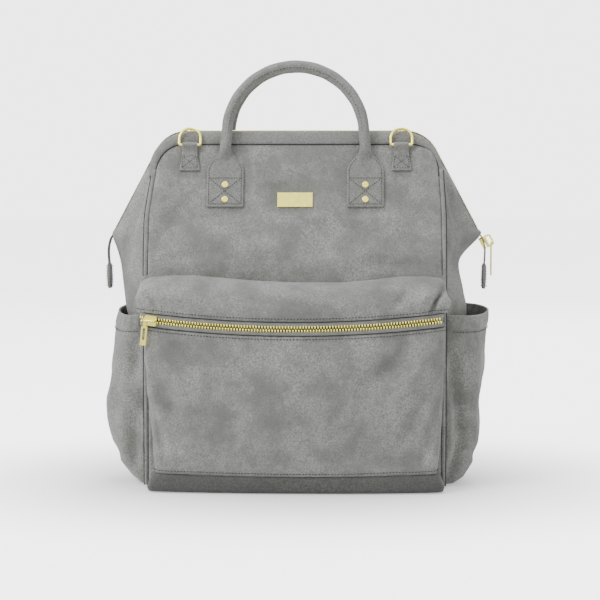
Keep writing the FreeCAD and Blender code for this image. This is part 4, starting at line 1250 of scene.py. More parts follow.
@dataclass
class FrontPocket:
    """Soft front pocket: a deep lower body and a puffed top each side of its zip."""

    back: float = -59.4
    front: float = -104.0
    zip_z: float = 176.0
    slot: float = 7.0
    thick: float = 1.6
    columns: int = 260

    def rings(self, levels: Array, width: Array, corner: float) -> Array:
        """Sections from the left rear edge round the front to the right rear edge.

        Args:
            levels: Middle-plane profile of the front as (y, z), one row a section.
            width: Half width of each section.
            corner: Softness of the two front corners.

        Returns:
            Grid (levels, columns, 3).
        """
        rows = []
        for (y, z), (left, right) in zip(levels, width):
            x = np.linspace(-left, right, 181)
            face = pocket_arc(x, y, z)
            square = 0.7 * (1 - smooth(0.0, 75.0, np.float64(z)))
            face[:, 1:] += square * (np.array([y, z]) - face[:, 1:])
            face[:, 1] = np.minimum(face[:, 1], self.back - 1.0)
            ends = [np.linspace(face[0] * [1, 0, 1] + [0, self.back, 0], face[0], 30)[:-1],
                    np.linspace(face[-1], face[-1] * [1, 0, 1] + [0, self.back, 0], 30)[1:]]
            rows.append(resample(np.vstack([ends[0], face, ends[1]]), self.columns))
        return softened(np.array(rows), corner)

    def pushed(self, grid: Array, height: Array) -> Array:
        """The grid moved by a height along its own normals, turned to point out of the front and the sides."""
        down, along = np.gradient(grid, axis=0), np.gradient(grid, axis=1)
        normal = unit(np.cross(along, down))
        inward = normal[..., 1:2] > 0.6 * normal[..., 0:1] * np.sign(grid[..., 0:1])
        normal *= np.where(inward, -1, 1)
        return grid + normal * height[..., None]

    def profile(self, points: list[tuple[float, float]], count: int) -> Array:
        """Middle-plane curve through points given as (depth behind the front, height)."""
        return spline([(self.front + depth, height) for depth, height in points], count)

    def lower_grid(self) -> Array:
        """The body under the zip, from its rolled top edge down to the seam and the base under it."""
        lip = self.zip_z - self.slot
        profile = self.profile([(1.6, lip + 0.2), (-0.6, lip - 1.2), (-1.2, self.zip_z - 14), (-2.2, 150),
                                (-3.4, 118), (-3.2, 82), (-0.5, 48), (1.5, 28), (3.6, 20.2), (5.4, 18.6),
                                (3.4, 15.5), (2.6, 8.0), (4.6, 1.6), (16.0, -3.0)], 170)
        z = profile[:, 1]
        marks = [-3, 4, 15, 19, 30, 65, 110, 155, 170, 177]
        width = np.column_stack([np.interp(z, marks, [157, 157.5, 153, 148, 149, 154.5, 158, 161.5, 165, 167]),
                                 np.interp(z, marks, [160, 161, 157, 153, 154, 158, 160, 161, 161.5, 162])])
        grid = self.rings(profile, width, 8.0)
        x, height = grid[..., 0], grid[..., 2]
        face = smooth(70.0, 80.0, -grid[..., 1])
        waves = 0.9 * ripple(x, height, 85.0, 21)
        grow = folds(self.creases(), x, height) + waves + 0.25 * ripple(x, height, 28.0, 4)
        calm = 1 - smooth(158.0, 168.0, height)
        grid = self.pushed(grid, grow * face * (0.15 + 0.85 * calm) * smooth(12.0, 30.0, height))
        grid[..., 2] = np.maximum(grid[..., 2], 0.6)
        return grid

    def creases(self) -> list[Crease]:
        """Long soft folds that hang from the zip's ends and cross the belly."""
        return [Crease((-150, 152), (-104, 92), 7.5, 4.4), Crease((-154, 132), (-116, 62), 8.0, -5.4),
                Crease((-128, 158), (-78, 112), 9.0, -4.2), Crease((150, 156), (104, 96), 8.0, 4.2),
                Crease((154, 128), (112, 52), 8.0, -5.4), Crease((128, 156), (70, 104), 10.0, -4.4),
                Crease((-156, 96), (-134, 30), 6.0, -4.0), Crease((156, 96), (138, 30), 6.0, -4.0),
                Crease((-60, 60), (30, 34), 14.0, 3.6), Crease((-110, 46), (-40, 26), 8.0, -3.6),
                Crease((50, 44), (120, 28), 9.0, -3.6), Crease((-20, 130), (40, 90), 16.0, 3.0)]

    def upper_grid(self) -> Array:
        """The puffed top over the zip, rolling back to the panel."""
        lip = self.zip_z + self.slot
        profile = self.profile([(1.6, lip - 0.2), (-0.6, lip + 1.2), (-1.6, 192.0), (0.6, 205.0), (7.0, 216.5),
                                (18.0, 224.0), (31.0, 228.5), (42.0, 230.0)], 84)
        marks = [183, 192, 205, 218, 232]
        width = np.column_stack([np.interp(profile[:, 1], marks, [167.5, 169, 170.5, 168.5, 163]),
                                 np.interp(profile[:, 1], marks, [163, 164.5, 165, 163, 159])])
        grid = self.rings(profile, width, 7.0)
        x, height = grid[..., 0], grid[..., 2]
        face = smooth(62.0, 72.0, -grid[..., 1])
        grow = folds(self.top_creases(), x, height) + 0.8 * ripple(x, height * 1.6, 60.0, 33)
        grid = self.pushed(grid, grow * face * smooth(184.0, 194.0, height))
        rise = np.interp(x, [-168, -155, -130, -107, -75, -42, 8, 57, 85, 112, 140, 157, 165],
                         [-13.0, -7.2, -4.0, -2.6, -4.2, -5.6, -6.8, -7.4, -5.8, -4.2, -4.8, -7.4, -13.0])
        grid[..., 2] += rise * smooth(198.0, 226.0, height)
        return grid

    def row_at(self, grid: Array, height: float) -> int:
        """The row of a grid whose middle stands nearest to a height."""
        return int(np.argmin(np.abs(grid[:, self.columns // 2, 2] - height)))

    def zip_wall(self) -> None:
        """Narrow wall that joins the two parts behind the zip and shows at the pocket's sides."""
        rise = np.linspace(-self.slot - 2.0, self.slot + 2.0, 9)
        levels = np.column_stack([self.front + 3.2 - 1.2 * np.cos(rise / 9.0 * math.pi / 2), self.zip_z + rise])
        grid = self.rings(levels[::-1], np.tile([[164.6, 159.4]], (9, 1)), 8.0)
        wall = thicken(sheet_object("pocket_zip_wall", grid, flip=True), 1.2)
        seat(wall, "body", Finish.LEATHER)

    def top_creases(self) -> list[Crease]:
        """Pleats at the two top corners and puckers along the zip."""
        return [Crease((161, 230), (146, 193), 3.0, -9.5), Crease((146, 222), (131, 196), 6.5, 4.6),
                Crease((170, 214), (160, 193), 6.0, 3.0), Crease((122, 224), (108, 194), 6.0, -3.4),
                Crease((-160, 222), (-146, 194), 4.0, -5.0), Crease((-136, 216), (-100, 204), 9.0, 3.0),
                Crease((-60, 220), (-20, 196), 9.0, -1.6), Crease((40, 222), (66, 194), 9.0, -1.7),
                Crease((-8, 214), (26, 206), 10.0, 1.6), Crease((88, 224), (104, 198), 7.0, -1.8)]

    def build(self) -> None:
        """Makes both parts and the stitching along their seams."""
        lower, upper = self.lower_grid(), self.upper_grid()
        seam = self.row_at(lower, 18.8)
        body, foot = lower[:seam + 1], lower[seam:]
        piece = thicken(sheet_object("front_pocket_body", body, flip=True), self.thick)
        seat(piece, "body", Finish.LEATHER, ("front_pocket_lower",))
        self.zip_wall()
        piece = thicken(sheet_object("front_pocket_base", foot, flip=True), self.thick)
        # The pocket's foot under its seam takes the darkened leather: painted shade
        seat(piece, "body", Finish.BASE)
        piece = thicken(sheet_object("front_pocket_top", upper), self.thick)
        seat(piece, "body", Finish.LEATHER, ("front_pocket_upper",))
        seams = StitchSet("pocket_stitches")
        beside = self.slot + 3.4
        for part, height in ((upper, self.zip_z + beside), (lower, self.zip_z - beside), (lower, 21.6)):
            row = part[self.row_at(part, height)]
            row = row[row[:, 1] < -78.0]
            ahead = unit(np.stack([directions(row)[:, 1], -directions(row)[:, 0], np.zeros(len(row))], axis=1))
            seams.row(row + ahead * 0.35, ahead)
        seams.build("body")


# ---------------------------------------------------------------------------------------------------
# Side pockets
# ---------------------------------------------------------------------------------------------------
@dataclass
class SidePocket:
    """Open pouch on one side: half-oval sections, a gathered hem and hanging folds."""

    side: int
    root: float = 162.6
    foot: float = 3.0
    rim: float = 192.0
    half_depth: float = 53.0
    rows: int = 110
    columns: int = 120

    def reach(self, z: Array) -> Array:
        """How far out the pouch stands at each height."""
        heights = [0.0, 8.0, 24.0, 45.0, 68.0, 95.0, 138.0, 178.0, 189.0, 196.0]
        if self.side < 0:
            out = [168.0, 181.0, 196.0, 205.0, 210.0, 210.5, 205.0, 199.0, 196.0, 194.0]
        else:
            out = [172.0, 187.0, 198.0, 202.0, 203.5, 205.0, 209.0, 210.5, 211.0, 211.0]
        return np.interp(z, heights, out)

    def section(self, t: Array, z: Array) -> tuple[Array, Array]:
        """Half oval: x = root + (reach - root) cos^0.72, y = depth sin, a little shallower near the base."""
        angle = t * math.pi / 2
        x = self.root + (self.reach(z) - self.root) * np.cos(angle) ** 0.72
        depth = self.half_depth * (0.86 + 0.14 * smooth(0.0, 40.0, z))
        return x, depth * np.sin(angle)

    def grid(self) -> Array:
        """Rows from the base up to the rim, with folds, waves and a gathered hem over a sunk seam."""
        up = np.linspace(0, 1, self.rows)
        z = self.foot + (self.rim - self.foot) * up
        t = np.linspace(-1, 1, self.columns)
        tt, zz = np.meshgrid(t, z)
        x, y = self.section(tt, zz)
        folded = folds(self.creases(), tt * 60.0, zz) * np.cos(tt * math.pi / 2) ** 0.35
        waves = 1.1 * ripple(tt * 60.0, zz, 60.0, 40 + self.side) * np.cos(tt * math.pi / 2) ** 0.5
        gather = 0.9 * np.sin(tt * 38.0) * smooth(176.0, 184.0, zz) * (1 - smooth(186.0, 190.0, zz))
        hem = 1.3 * smooth(172.0, 176.0, zz)
        groove = -1.0 * bump(zz, 175.0, 1.6)
        grow = folded + waves + gather * 0.6 + hem + groove
        angle = tt * math.pi / 2
        free = smooth(0.0, 0.05, 1 - np.abs(tt))
        x = x + grow * np.maximum(np.cos(angle), 0.55) * free
        y = y + grow * np.sin(angle) * 0.8 * free
        x = np.maximum(x, 161.0)
        zz = zz + (4.0 * np.sin(tt * 2.2 + 0.4) - 3.0 * np.cos(tt * math.pi / 2)) * smooth(120.0, 192.0, zz)
        grid = np.stack([x * self.side, y, zz], axis=-1)
        grid[..., 2] = np.maximum(grid[..., 2], 1.0)
        return grid

    def creases(self) -> list[Crease]:
        """Hanging folds; the first coordinate runs from the front corner (-60) to the back one (60)."""
        if self.side < 0:
            return [Crease((-54, 158), (-52, 112), 7.0, -15.0), Crease((-54, 82), (-50, 22), 7.0, -16.0),
                    Crease((-40, 112), (-52, 92), 5.0, 3.0),
                    Crease((-42, 150), (-30, 60), 8.0, -4.0), Crease((-20, 150), (0, 90), 9.0, -2.2),
                    Crease((-30, 40), (10, 22), 8.0, -1.6), Crease((30, 165), (20, 80), 9.0, -2.6),
                    Crease((-36, 130), (-14, 70), 8.0, 2.2)]
        return [Crease((-60, 146), (-50, 92), 6.0, -16.0), Crease((-50, 100), (-46, 40), 6.0, -15.0),
                Crease((-46, 48), (-57, 6), 6.0, -13.0), Crease((-58, 100), (-57, 30), 4.0, 4.0),
                Crease((-34, 156), (-30, 50), 8.0, 5.0), Crease((-10, 140), (8, 60), 9.0, -2.6),
                Crease((28, 160), (24, 70), 9.0, -2.6), Crease((-30, 36), (20, 24), 8.0, -2.8)]

    def build(self) -> None:
        """Makes the pouch and the hem's stitching."""
        word = WORDS[self.side]
        grid = self.grid()
        piece = thicken(sheet_object(f"side_pouch_{word}", grid, flip=self.side < 0), 1.8)
        seat(piece, "body", Finish.LEATHER, (f"side_pocket_{word}",))
        row = int(self.rows * (173.0 - self.foot) / (self.rim - self.foot))
        seam = StitchSet(f"side_pouch_stitches_{word}")
        line = grid[row, 3:-3]
        turn = np.linspace(-1.4, 1.4, len(line))
        out = unit(np.stack([self.side * np.cos(turn), np.sin(turn), np.zeros(len(line))], axis=1))
        seam.row(line + out * 0.8, out)
        seam.build("body")


# ---------------------------------------------------------------------------------------------------
# Handles, patches and ring tabs
# ---------------------------------------------------------------------------------------------------
@dataclass
class Handle:
    """Rolled handle of one half: the arch, its necks that run down into flared patches, and their stitching."""

    half: Half
    half_width: float = 74.5
    patch_out: float = 1.5
    radius: float = 6.0
    leg: float = 9.0
    lean: float = math.radians(10.0)
    pivot_v: float = 114.0
    pivot_w: float = 8.0
    patch_foot: float = 42.0
    patch_half: float = 20.0
    stitch_w: float = 3.0
    sides: int = 28

    def arch(self) -> Array:
        """Centre line: up from a patch, over a half circle that leans to the middle, and down to the other."""
        h = self.half
        pivot = h.place(0.0, self.pivot_v, self.pivot_w)
        up = np.array([0.0, -h.side * math.sin(self.lean), math.cos(self.lean)])
        turn = np.linspace(0, math.pi, 110)[:, None]
        centre = pivot + up * self.leg
        bow = (centre - np.array([1.0, 0, 0]) * self.half_width * np.cos(turn)
               + up * self.half_width * np.sin(turn))
        neck = [h.place(-self.half_width - self.patch_out, v, w) for v, w in
                ((88.0, 0.8), (93.0, 1.4), (98.0, 3.0), (106.0, 6.6))]
        low = spline([tuple(p) for p in neck] + [tuple(bow[k]) for k in (0, 6, 12)], 46)[:-12]
        start = int(np.argmin(np.linalg.norm(bow - low[-1], axis=1))) + 1
        left = np.vstack([low, bow[start:55]])
        right = left[::-1] * np.array([-1.0, 1.0, 1.0])
        return resample(np.vstack([left, right]), 260)

    def build(self) -> None:
        """Makes the handle, its patches and the stitches."""
        h, name = self.half, self.half.name
        line = self.arch()
        along = np.abs(np.linspace(-1, 1, len(line)))
        end = length_of(line) / 2
        flat = smooth(end - 26.0, end - 1.0, along * length_of(line) / 2)
        wide = self.radius * (1 + 0.02 * np.sin(np.arange(len(line)) * 0.31)) + 3.0 * flat**1.6
        deep = self.radius * (1 + 0.02 * np.cos(np.arange(len(line)) * 0.23)) - 5.2 * flat
        outward = np.array([0.0, h.side * 1.0, 0.15])
        grid = tube(line, outward, wide, deep, self.sides)
        seam = np.arange(self.sides) / self.sides * math.tau
        sunk = 1 - 0.10 * np.exp(-(((seam - 3.9) / 0.16) ** 2))
        grid = line[:, None, :] + (grid - line[:, None, :]) * sunk[None, :, None]
        piece = solid(f"{name}_handle_roll", grid)
        run = (h.place(0.0, 104.0, self.pivot_w), h.place(0.0, 124.0, self.pivot_w))
        seat_across(piece, (f"{name}_half", f"{name}_handle"), Finish.TRIM, (f"{name}_handle",))
        keep(f"{name}_handle_core", Finish.CORE)
        keep(f"{name}_handle_rivets", Finish.GOLD)
        stitches = StitchSet(f"{name}_patch_stitches", 2.0, 0.75)
        for side, word in WORDS.items():
            self.patch(side, word, stitches)
        inner = line[18:-18] + np.array([0.0, h.side * self.radius * 0.97, 0.0])
        shift = unit(line[18:-18] - np.array([0.0, 0.0, 360.0])) * np.array([1.0, 0.0, 1.0])
        handle_seam = StitchSet(f"{name}_handle_stitches", 2.0, 0.7)
        handle_seam.row(inner[14:-14] - shift[14:-14] * 2.2, np.array([0.0, h.side * 1.0, 0.0]), 3.6)
        handle_seam.build(f"{name}_handle")
        stitches.build(f"{name}_half")

    def patch(self, side: int, word: str, stitches: StitchSet) -> None:
        """A flared patch: square foot, then shoulders that taper to the neck, and its box of stitches."""
        h, name = self.half, self.half.name
        middle = side * (self.half_width + self.patch_out)
        v = np.concatenate([[self.patch_foot, self.patch_foot + 0.5], np.linspace(43.5, 103.5, 60), [104.6, 105.2]])
        half = self.patch_half - (self.patch_half - 6.6) * smooth(83.0, 106.5, v)
        half -= np.array([1.2, 0.4] + [0.0] * 60 + [0.4, 1.2])
        thick = np.full(len(v), 1.35)
        thick[[0, -1]] = 0.5
        line = h.place(middle, v, 1.5 + 0.5 * smooth(80.0, 104.0, v))
        grid = tube(line, h.outward, half, thick, 44, 6.0)
        piece = solid(f"{name}_patch_{word}", grid)
        nodes = (f"{name}_handle_patches",) if side > 0 else ()
        seat(piece, f"{name}_half", Finish.TRIM, nodes)
        left = [(-17.6, 45.0), (-17.6, 83.0), (-15.4, 89.5), (-9.5, 96.5)]
        rows = [left, [(-x, v_) for x, v_ in left],
                [(-17.4, 45.0), (17.4, 45.0)], [(-17.4, 74.0), (17.4, 74.0)],
                [(-16.0, 46.5), (16.0, 72.5)], [(-16.0, 72.5), (16.0, 46.5)]]
        for row in rows:
            points = [h.place(middle + x, v_, self.stitch_w) for x, v_ in row]
            stitches.row(np.array(points), h.outward, 2.9)


@dataclass
class RingTab:
    """Folded leather tab that holds a ring: up behind the bar, over it, and down to its box of stitches."""

    half: Half
    side: int
    middle: float = 115.0
    bar_v: float = 111.0
    bar_w: float = 4.4

    def build(self) -> None:
        """Makes the tab and its stitches."""
        h, word = self.half, WORDS[self.side]
        turn = np.linspace(-0.35, math.pi + 0.45, 16)
        eye = [(self.bar_v + 2.5 * math.sin(a), self.bar_w - 2.5 * math.cos(a)) for a in turn]
        folded = spline([(83.0, 0.9), (94.0, 0.9), (104.0, 1.0)] + eye + [(104.5, 3.0), (96.0, 2.3), (83.0, 2.2)], 110)
        line = h.place(self.side * self.middle, folded[:, 0], folded[:, 1])
        half = 8.3 + 2.6 * (1 - smooth(84.0, 100.0, folded[:, 0]))
        normal = np.cross(directions(line), np.array([1.0, 0.0, 0.0]))
        grid = tube(line, normal, half, 0.62, 24, 4.0)
        piece = solid(f"{h.name}_ring_tab_{word}", grid)
        nodes = (f"{h.name}_ring_tabs",) if self.side > 0 else ()
        seat(piece, f"{h.name}_half", Finish.TRIM, nodes)
        keep(f"{h.name}_ring_{word}", Finish.GOLD)
        seam = StitchSet(f"{h.name}_ring_tab_stitches_{word}", 1.8, 0.7)
        place = self.side * self.middle
        for a, b, c, d in ((-8.6, 85.5, 8.6, 85.5), (-7.4, 99.0, 7.4, 99.0), (-8.6, 85.5, -7.4, 99.0),
                           (8.6, 85.5, 7.4, 99.0), (-8.0, 86.5, 7.0, 98.0), (8.0, 86.5, -7.0, 98.0)):
            seam.row(np.array([h.place(place + a, b, 2.95), h.place(place + c, d, 2.95)]), h.outward, 2.7)
        seam.build(f"{h.name}_half")


# ---------------------------------------------------------------------------------------------------
# Zip tails
# ---------------------------------------------------------------------------------------------------
@dataclass
class ZipTail:
    """Free end of the mouth's zip at one side: a curved tape and the leather tab sewn over its end."""

    side: int

    def build(self) -> None:
        """Makes the curved tape and the tab, which rides on the tail."""
        word = WORDS[self.side]
        body = f"zip_tail_{word}"
        out = np.array([self.side * 1.0, 1.0, 1.0])
        line = spline([(201.6, 0, 274.0), (205.4, 0, 268.0), (207.8, 0, 258.0), (207.8, 0, 248.0),
                       (207.0, 0, 238.0)], 40) * out
        normal = np.cross(directions(line), np.array([0.0, 1.0, 0.0])) * -self.side
        tape = solid(f"tail_tape_{word}", tube(line, normal, 9.2, 0.6, 20, 4.0))
        seat_across(tape, ("body", body), Finish.TAPE, (f"zip_tail_tape_{word}",))
        fall = spline([(207.2, 0, 240.6), (207.0, 0, 230.0), (206.6, 0, 213.4)], 44) * out
        grow = np.sin(np.linspace(0.12, math.pi - 0.12, 44)) ** 0.16
        tab = solid(f"tail_tab_{word}", tube(fall, np.array([1.0, 0, 0]), 10.8 * grow, 2.3 * grow, 30, 5.0))
        seat(tab, body, Finish.TRIM, (f"zip_tail_tab_{word}",))
        seam = StitchSet(f"tail_stitches_{word}", 1.9, 0.7)
        for face in (-1, 1):
            x = self.side * 206.9 + face * 2.45
            corners = ((-8.4, 216.0), (8.4, 216.0), (8.4, 238.0), (-8.4, 238.0), (-8.4, 216.0))
            box = np.array([(x, y, z) for y, z in corners])
            seam.row(resample(box, 80), np.array([face * 1.0, 0.0, 0.0]), 3.0)
        seam.build(body)


# ---------------------------------------------------------------------------------------------------
# Base, lining and inside
# ---------------------------------------------------------------------------------------------------
def plan(half_x: float, half_y: float, power: float, count: int) -> Array:
    """Rounded rectangle seen from above: a superellipse, as (x, y) points."""
    a = np.linspace(0, math.tau, count, endpoint=False)
    c, s = np.cos(a), np.sin(a)
    radius = (np.abs(c) ** power + np.abs(s) ** power) ** (-1 / power)
    return np.column_stack([half_x * c * radius, half_y * s * radius])


@dataclass
class Base:
    """Bottom of the bag: leather base with a rounded edge, darkened as painted shade, stiffener board and the open
    lining.
    """

    half_x: float = 163.0
    half_y: float = 59.0

    def stacked(self, ring: Array, levels: list[tuple[float, float]]) -> Array:
        """A ring repeated at levels, each a share of its size and a height."""
        return np.array([np.column_stack([ring * share, np.full(len(ring), z)]) for share, z in levels])

    def build(self) -> None:
        """Makes base and lining; the board keeps its frame node."""
        ring = plan(self.half_x, self.half_y, 14.0, 240)
        levels = [(0.02, 0.0), (0.97, 0.0), (0.992, 0.35), (1.0, 1.6), (1.0, 3.4), (0.99, 4.6), (0.97, 5.0),
                  (0.9, 5.0)]
        grid = self.stacked(ring, levels)
        base = solid("base_skin", grid)
        # The base takes the darkened leather: painted shade
        seat(base, "body", Finish.BASE, ("base_panel",))
        keep("base_board", Finish.BOARD)
        inner = plan(160.0, 56.0, 12.0, 200)
        cloth = self.stacked(inner, [(0.02, 6.6), (0.5, 6.6), (0.96, 6.6), (1.0, 10.0), (1.0, 60.0),
                                     (0.996, 120.0), (1.0, 190.0), (1.0, 211.5)])
        lining = thicken(sheet_object("main_lining", cloth, closed=True), 0.8)
        seat(lining, "body", Finish.LINING, ("lining",))
        for half in HALVES:
            keep(f"{half.name}_mouth_frame", Finish.STEEL)


# ---------------------------------------------------------------------------------------------------
# Back: foam panel, yoke, straps, webbing
# ---------------------------------------------------------------------------------------------------
@dataclass
class BackStraps:
    """Everything on the back: quilted foam panel, yoke, two padded straps, adjusters, webbing and anchors."""

    back: float = 59.3
    top_z: float = 244.0
    top_x: float = 42.0
    end_x: float = 96.0
    drop: float = 148.0
    stand: float = 34.0
    half_width: float = 29.0
    thick: float = 9.0

    def strap_line(self, share: Array) -> Array:
        """Middle of the strap's inner face: x swings out on a cosine, y stands off on a sine, z falls evenly."""
        swing = 0.5 - 0.5 * np.cos(np.pi * share)
        return np.stack([self.top_x + (self.end_x - self.top_x) * swing,
                         self.back + 0.3 + 5.0 * share + self.stand * np.sin(np.pi * np.clip(share, 0, 1)) ** 0.8,
                         self.top_z - self.drop * share], axis=-1)

    def pad(self, side: int, word: str) -> None:
        """A strap pad: crowned, its edges pulled in to a flat sewn rim, with a row of stitches each side."""
        share = np.linspace(0.0, 1.0, 130)
        line = self.strap_line(share) + np.array([0.0, self.thick / 2, 0.0])
        end = np.minimum(1, np.minimum(share, 1 - share) / 0.035)
        half = self.half_width * (1 - 0.35 * share**2) * (0.93 + 0.07 * np.sqrt(end))
        u = np.linspace(-1, 1, 41)
        crown = np.clip(1 - np.abs(u) ** 3.2, 0, 1) ** 0.8 * 0.80 + 0.20
        crown = crown - 0.16 * np.exp(-(((np.abs(u) - 0.84) / 0.05) ** 2))
        high = self.thick / 2 * (0.45 + 0.55 * np.sqrt(end))
        along = directions(line)
        normal = unit(np.cross(along, np.array([1.0, 0, 0])))
        normal *= np.sign(normal[:, 1:2] + 1e-9)
        faces = []
        for sign, order in ((1, slice(None)), (-1, slice(None, None, -1))):
            across = line[:, None, :] + np.array([1.0, 0, 0]) * (half[:, None] * u[None, order])[..., None]
            pinch = 1 + 0.03 * np.sin(share * 26.0)[:, None]
            height = sign * high[:, None] * pinch * crown[None, order]
            faces.append(across + normal[:, None, :] * height[..., None])
        grid = np.concatenate(faces, axis=1) * np.array([side, 1.0, 1.0])
        piece = solid(f"shoulder_pad_{word}", grid, flip=side < 0)
        seat(piece, "body", Finish.LEATHER, (f"strap_pad_{word}",))
        seam = StitchSet(f"shoulder_stitches_{word}")
        for edge in (-0.84, 0.84):
            row = line + np.array([1.0, 0, 0]) * (half * edge)[:, None] + normal * (high * 0.62)[:, None]
            seam.row(row[4:-4] * np.array([side, 1.0, 1.0]), normal[4:-4], 3.8)
        seam.build("body")

    def slab(self, name: str, x: tuple[float, float], z: tuple[float, float], thick: float, quilt: float
             ) -> bpy.types.Object:
        """A puffed slab on the back: its face rises on a steep dome and dips along quilting lines."""
        u = np.linspace(-1, 1, 120)
        w = np.linspace(-1, 1, 110)
        uu, ww = np.meshgrid(u, w)
        xx = (x[0] + x[1]) / 2 + (x[1] - x[0]) / 2 * uu * (1 - 0.02 * ww**8)
        zz = (z[0] + z[1]) / 2 + (z[1] - z[0]) / 2 * ww * (1 - 0.02 * uu**8)
        dome = ((1 - uu**16) * (1 - ww**16)) ** 0.4
        lines = np.exp(-((np.sin(np.pi * xx / 47.0) / 0.16) ** 2)) if quilt else 0 * xx
        y = self.back + thick * dome * (1 - quilt * lines) + 0.15
        rear = np.stack([xx, np.full_like(xx, self.back), zz], axis=-1)[:, ::-1]
        return solid(name, np.concatenate([np.stack([xx, y, zz], axis=-1), rear], axis=1), flip=True)

    def build(self) -> None:
        """Makes the whole back."""
        foam = self.slab("back_cushion", (-141.0, 141.0), (46.5, 221.8), 4.9, 0.55)
        seat(foam, "body", Finish.FOAM, ("back_foam",))
        yoke = self.slab("shoulder_yoke", (-75.0, 75.0), (244.4, 257.0), 5.9, 0.0)
        seat(yoke, "body", Finish.TRIM, ("strap_yoke",))
        seams = StitchSet("back_stitches")
        behind = np.array([0.0, 1.0, 0.0])
        for z in (246.6, 254.8):
            seams.row(np.array([(-71.0, self.back + 6.0, z), (71.0, self.back + 6.0, z)]), behind)
        outline = [(-136.5, 51.0), (136.5, 51.0), (136.5, 217.5), (-136.5, 217.5), (-136.5, 51.0)]
        seams.row(resample(np.array([(x, self.back + 4.7, z) for x, z in outline]), 400), behind, 4.0)
        for side, word in WORDS.items():
            self.pad(side, word)
            self.webbing(side, word, seams)
        seams.build("body")
        keep("strap_ladder_locks", Finish.PLASTIC)

    def webbing(self, side: int, word: str, seams: StitchSet) -> None:
        """Flat webbing from the adjuster down to the leather anchor in the base corner."""
        line = spline([(100.0, 66.9, 69.2), (112.0, 66.4, 57.0), (128.0, 65.4, 41.0), (142.0, 64.6, 26.0)], 60)
        line = line * np.array([side, 1.0, 1.0])
        band = solid(f"webbing_{word}", tube(line, np.array([0.0, 1.0, 0.0]), 12.4, 0.75, 24, 5.0))
        seat(band, "body", Finish.WEBBING, ("strap_webbing",) if side > 0 else ())
        v = np.linspace(0, 1, 50)
        low, high = 6.4, 45.6
        z = low + (high - low) * v
        inner = np.full(50, 122.2)
        outer = np.interp(z, [low, 26.0, high], [160.3, 160.3, 149.0])
        trim = np.minimum(1, np.minimum(v, 1 - v) / 0.03)
        middle, half = (inner + outer) / 2, (outer - inner) / 2 * (0.96 + 0.04 * trim)
        path = np.column_stack([middle, np.full(50, self.back + 2.1), z]) * np.array([side, 1.0, 1.0])
        level = np.column_stack([np.full(50, path[:, 0].mean()), path[:, 1], path[:, 2]])
        grid = tube(level, np.array([0.0, 1.0, 0.0]), half, 2.05 * (0.4 + 0.6 * trim), 40, 6.0)
        grid[..., 0] += (path[:, 0] - level[:, 0])[:, None]
        tab = solid(f"anchor_{word}", grid)
        seat(tab, "body", Finish.TRIM, ("strap_anchors",) if side > 0 else ())
        rim = [(126.0, 10.0), (157.0, 10.0), (157.0, 26.0), (147.0, 42.0), (126.0, 42.0), (126.0, 10.0)]
        outline = np.array([(side * x, self.back + 4.3, z) for x, z in rim])
        seams.row(resample(outline, 120), np.array([0.0, 1.0, 0.0]))


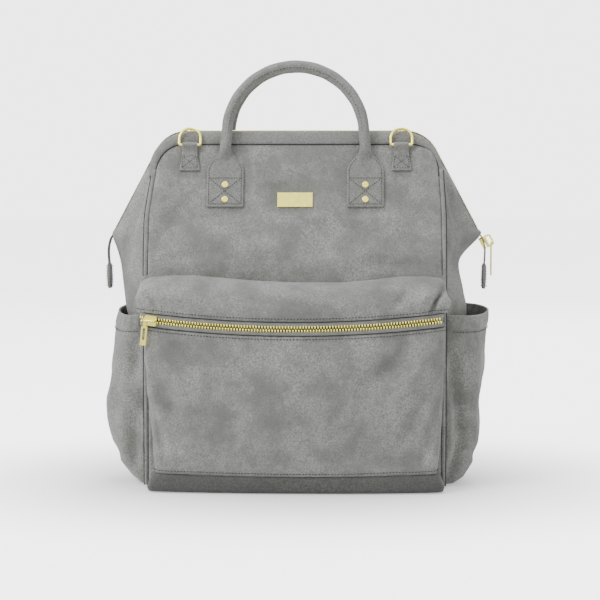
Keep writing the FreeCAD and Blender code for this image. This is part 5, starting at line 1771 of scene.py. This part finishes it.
# ---------------------------------------------------------------------------------------------------
# Floor, light and camera
# ---------------------------------------------------------------------------------------------------
@dataclass
class Studio:
    """Pale floor, soft light from above and the left, and the camera."""

    eye: tuple[float, float, float] = (0.06525, -1.99905, 0.33127)
    target: tuple[float, float, float] = (0.00735, -0.104, 0.207)
    lens: float = 108.57
    floor_half: float = 14.0

    def floor(self) -> None:
        """A wide flat floor with a faint unevenness in its tint, and a glow seen by the camera that dims near the bag
        as painted shade.
        """
        t = np.linspace(-1, 1, 25)
        xx, yy = np.meshgrid(t * self.floor_half / MM, t * self.floor_half / MM)
        piece = sheet_object("studio_floor", np.stack([xx, yy, np.zeros_like(xx)], axis=-1))
        material, g, shader, place = surface("studio floor paper")
        tint = use(g, Effect.CLOUDS, Vector=place, Cloud_Scale=1.2, Speckle_Scale=400.0)
        g.feed(shader.inputs["Base Color"], g.mix(tint.outputs["Cloud"], grey(0.80), grey(0.83)))
        # The floor glows to the camera alone, an even bright backdrop far off; within about 0.1 m of the bag the glow
        # falls to 12%, full again by 0.42 m: painted shade round the bag over its real shadow
        parts = g.node("ShaderNodeSeparateXYZ", Vector=place).outputs
        wide = g.calc("POWER", g.calc("DIVIDE", parts["X"], 1.25), 2.0)
        deep = g.calc("POWER", parts["Y"], 2.0)
        away = g.spread(g.calc("SQRT", g.calc("ADD", wide, deep)), 0.10, 0.42)
        seen = g.node("ShaderNodeLightPath").outputs["Is Camera Ray"]
        share = g.calc("MULTIPLY", seen, g.calc("ADD", g.calc("MULTIPLY", away, 0.88), 0.12))
        g.feed(shader.inputs["Emission Color"], g.mix(share, (0.0, 0.0, 0.0, 1.0), (1.0, 0.99, 0.995, 1.0)))
        shader.inputs["Emission Strength"].default_value = 3.2
        shader.inputs["Roughness"].default_value = 0.9
        shader.inputs["Specular IOR Level"].default_value = 0.1
        piece.data.materials.append(material)

    def lamp(self, name: str, place: tuple[float, float, float], size: float, power: float) -> None:
        """A square soft light that faces the bag."""
        light = bpy.data.lights.new(name, "AREA")
        light.shape, light.size, light.energy = "SQUARE", size, power
        lamp = bpy.data.objects.new(name, light)
        bpy.context.scene.collection.objects.link(lamp)
        lamp.location = place
        aim = Vector((0.0, 0.0, 0.2)) - Vector(place)
        lamp.rotation_euler = aim.to_track_quat("-Z", "Y").to_euler()

    def camera(self) -> None:
        """A long lens in front of the bag, a little to its right and above its middle."""
        data = bpy.data.cameras.new("studio_camera")
        data.lens, data.sensor_width = self.lens, 36.0
        data.clip_start, data.clip_end = 0.05, 60.0
        holder = bpy.data.objects.new("studio_camera", data)
        bpy.context.scene.collection.objects.link(holder)
        holder.location = self.eye
        holder.rotation_euler = (Vector(self.target) - Vector(self.eye)).to_track_quat("-Z", "Y").to_euler()
        bpy.context.scene.camera = holder

    def build(self) -> None:
        """Sets up the whole studio."""
        self.floor()
        self.camera()
        self.lamp("key_light", (-1.5, -1.3, 1.9), 0.9, 44.0)
        self.lamp("fill_light", (1.9, -1.6, 1.0), 1.6, 9.0)
        self.lamp("side_light", (-2.4, 0.1, 0.9), 1.2, 17.0)
        self.lamp("top_light", (0.1, -0.1, 2.4), 1.1, 30.0)
        self.lamp("back_light", (0.6, 2.2, 1.6), 1.4, 30.0)
        world = bpy.data.worlds.new("studio_air")
        world.use_nodes = True
        back = world.node_tree.nodes["Background"]
        g = Graph(world.node_tree)
        path = g.node("ShaderNodeLightPath").outputs
        plain, seen, mirrored = (0.50, 0.50, 0.50, 1.0), (3.95, 3.85, 3.90, 1.0), (1.9, 1.88, 1.80, 1.0)
        unseen = g.mix(path["Is Glossy Ray"], plain, mirrored)
        g.feed(back.inputs["Color"], g.mix(path["Is Camera Ray"], unseen, seen))
        bpy.context.scene.world = world


# ---------------------------------------------------------------------------------------------------
# The whole bag
# ---------------------------------------------------------------------------------------------------
def hardware() -> None:
    """Dresses the metal parts that keep their frame nodes."""
    for node in ("pocket_zip_slider", "pocket_zip_pull", "top_zip_slider", "top_zip_pull", "name_plate"):
        keep(node, Finish.GOLD)


def main() -> None:
    """Builds the studio and every sub-assembly in turn."""
    logging.basicConfig(level=logging.INFO, format="%(message)s")
    Studio().build()
    for half in HALVES:
        PanelSkin(half).build()
        Piping(half).build()
        MouthBand(half).build()
        Handle(half).build()
        for side in (-1, 1):
            SideSheet(half, side).build()
            RingTab(half, side).build()
    TopZip().build()
    PocketZip().build()
    FrontPocket().build()
    for side in (-1, 1):
        SidePocket(side).build()
        ZipTail(side).build()
    Base().build()
    BackStraps().build()
    hardware()


if __name__ == "__main__":
    main()
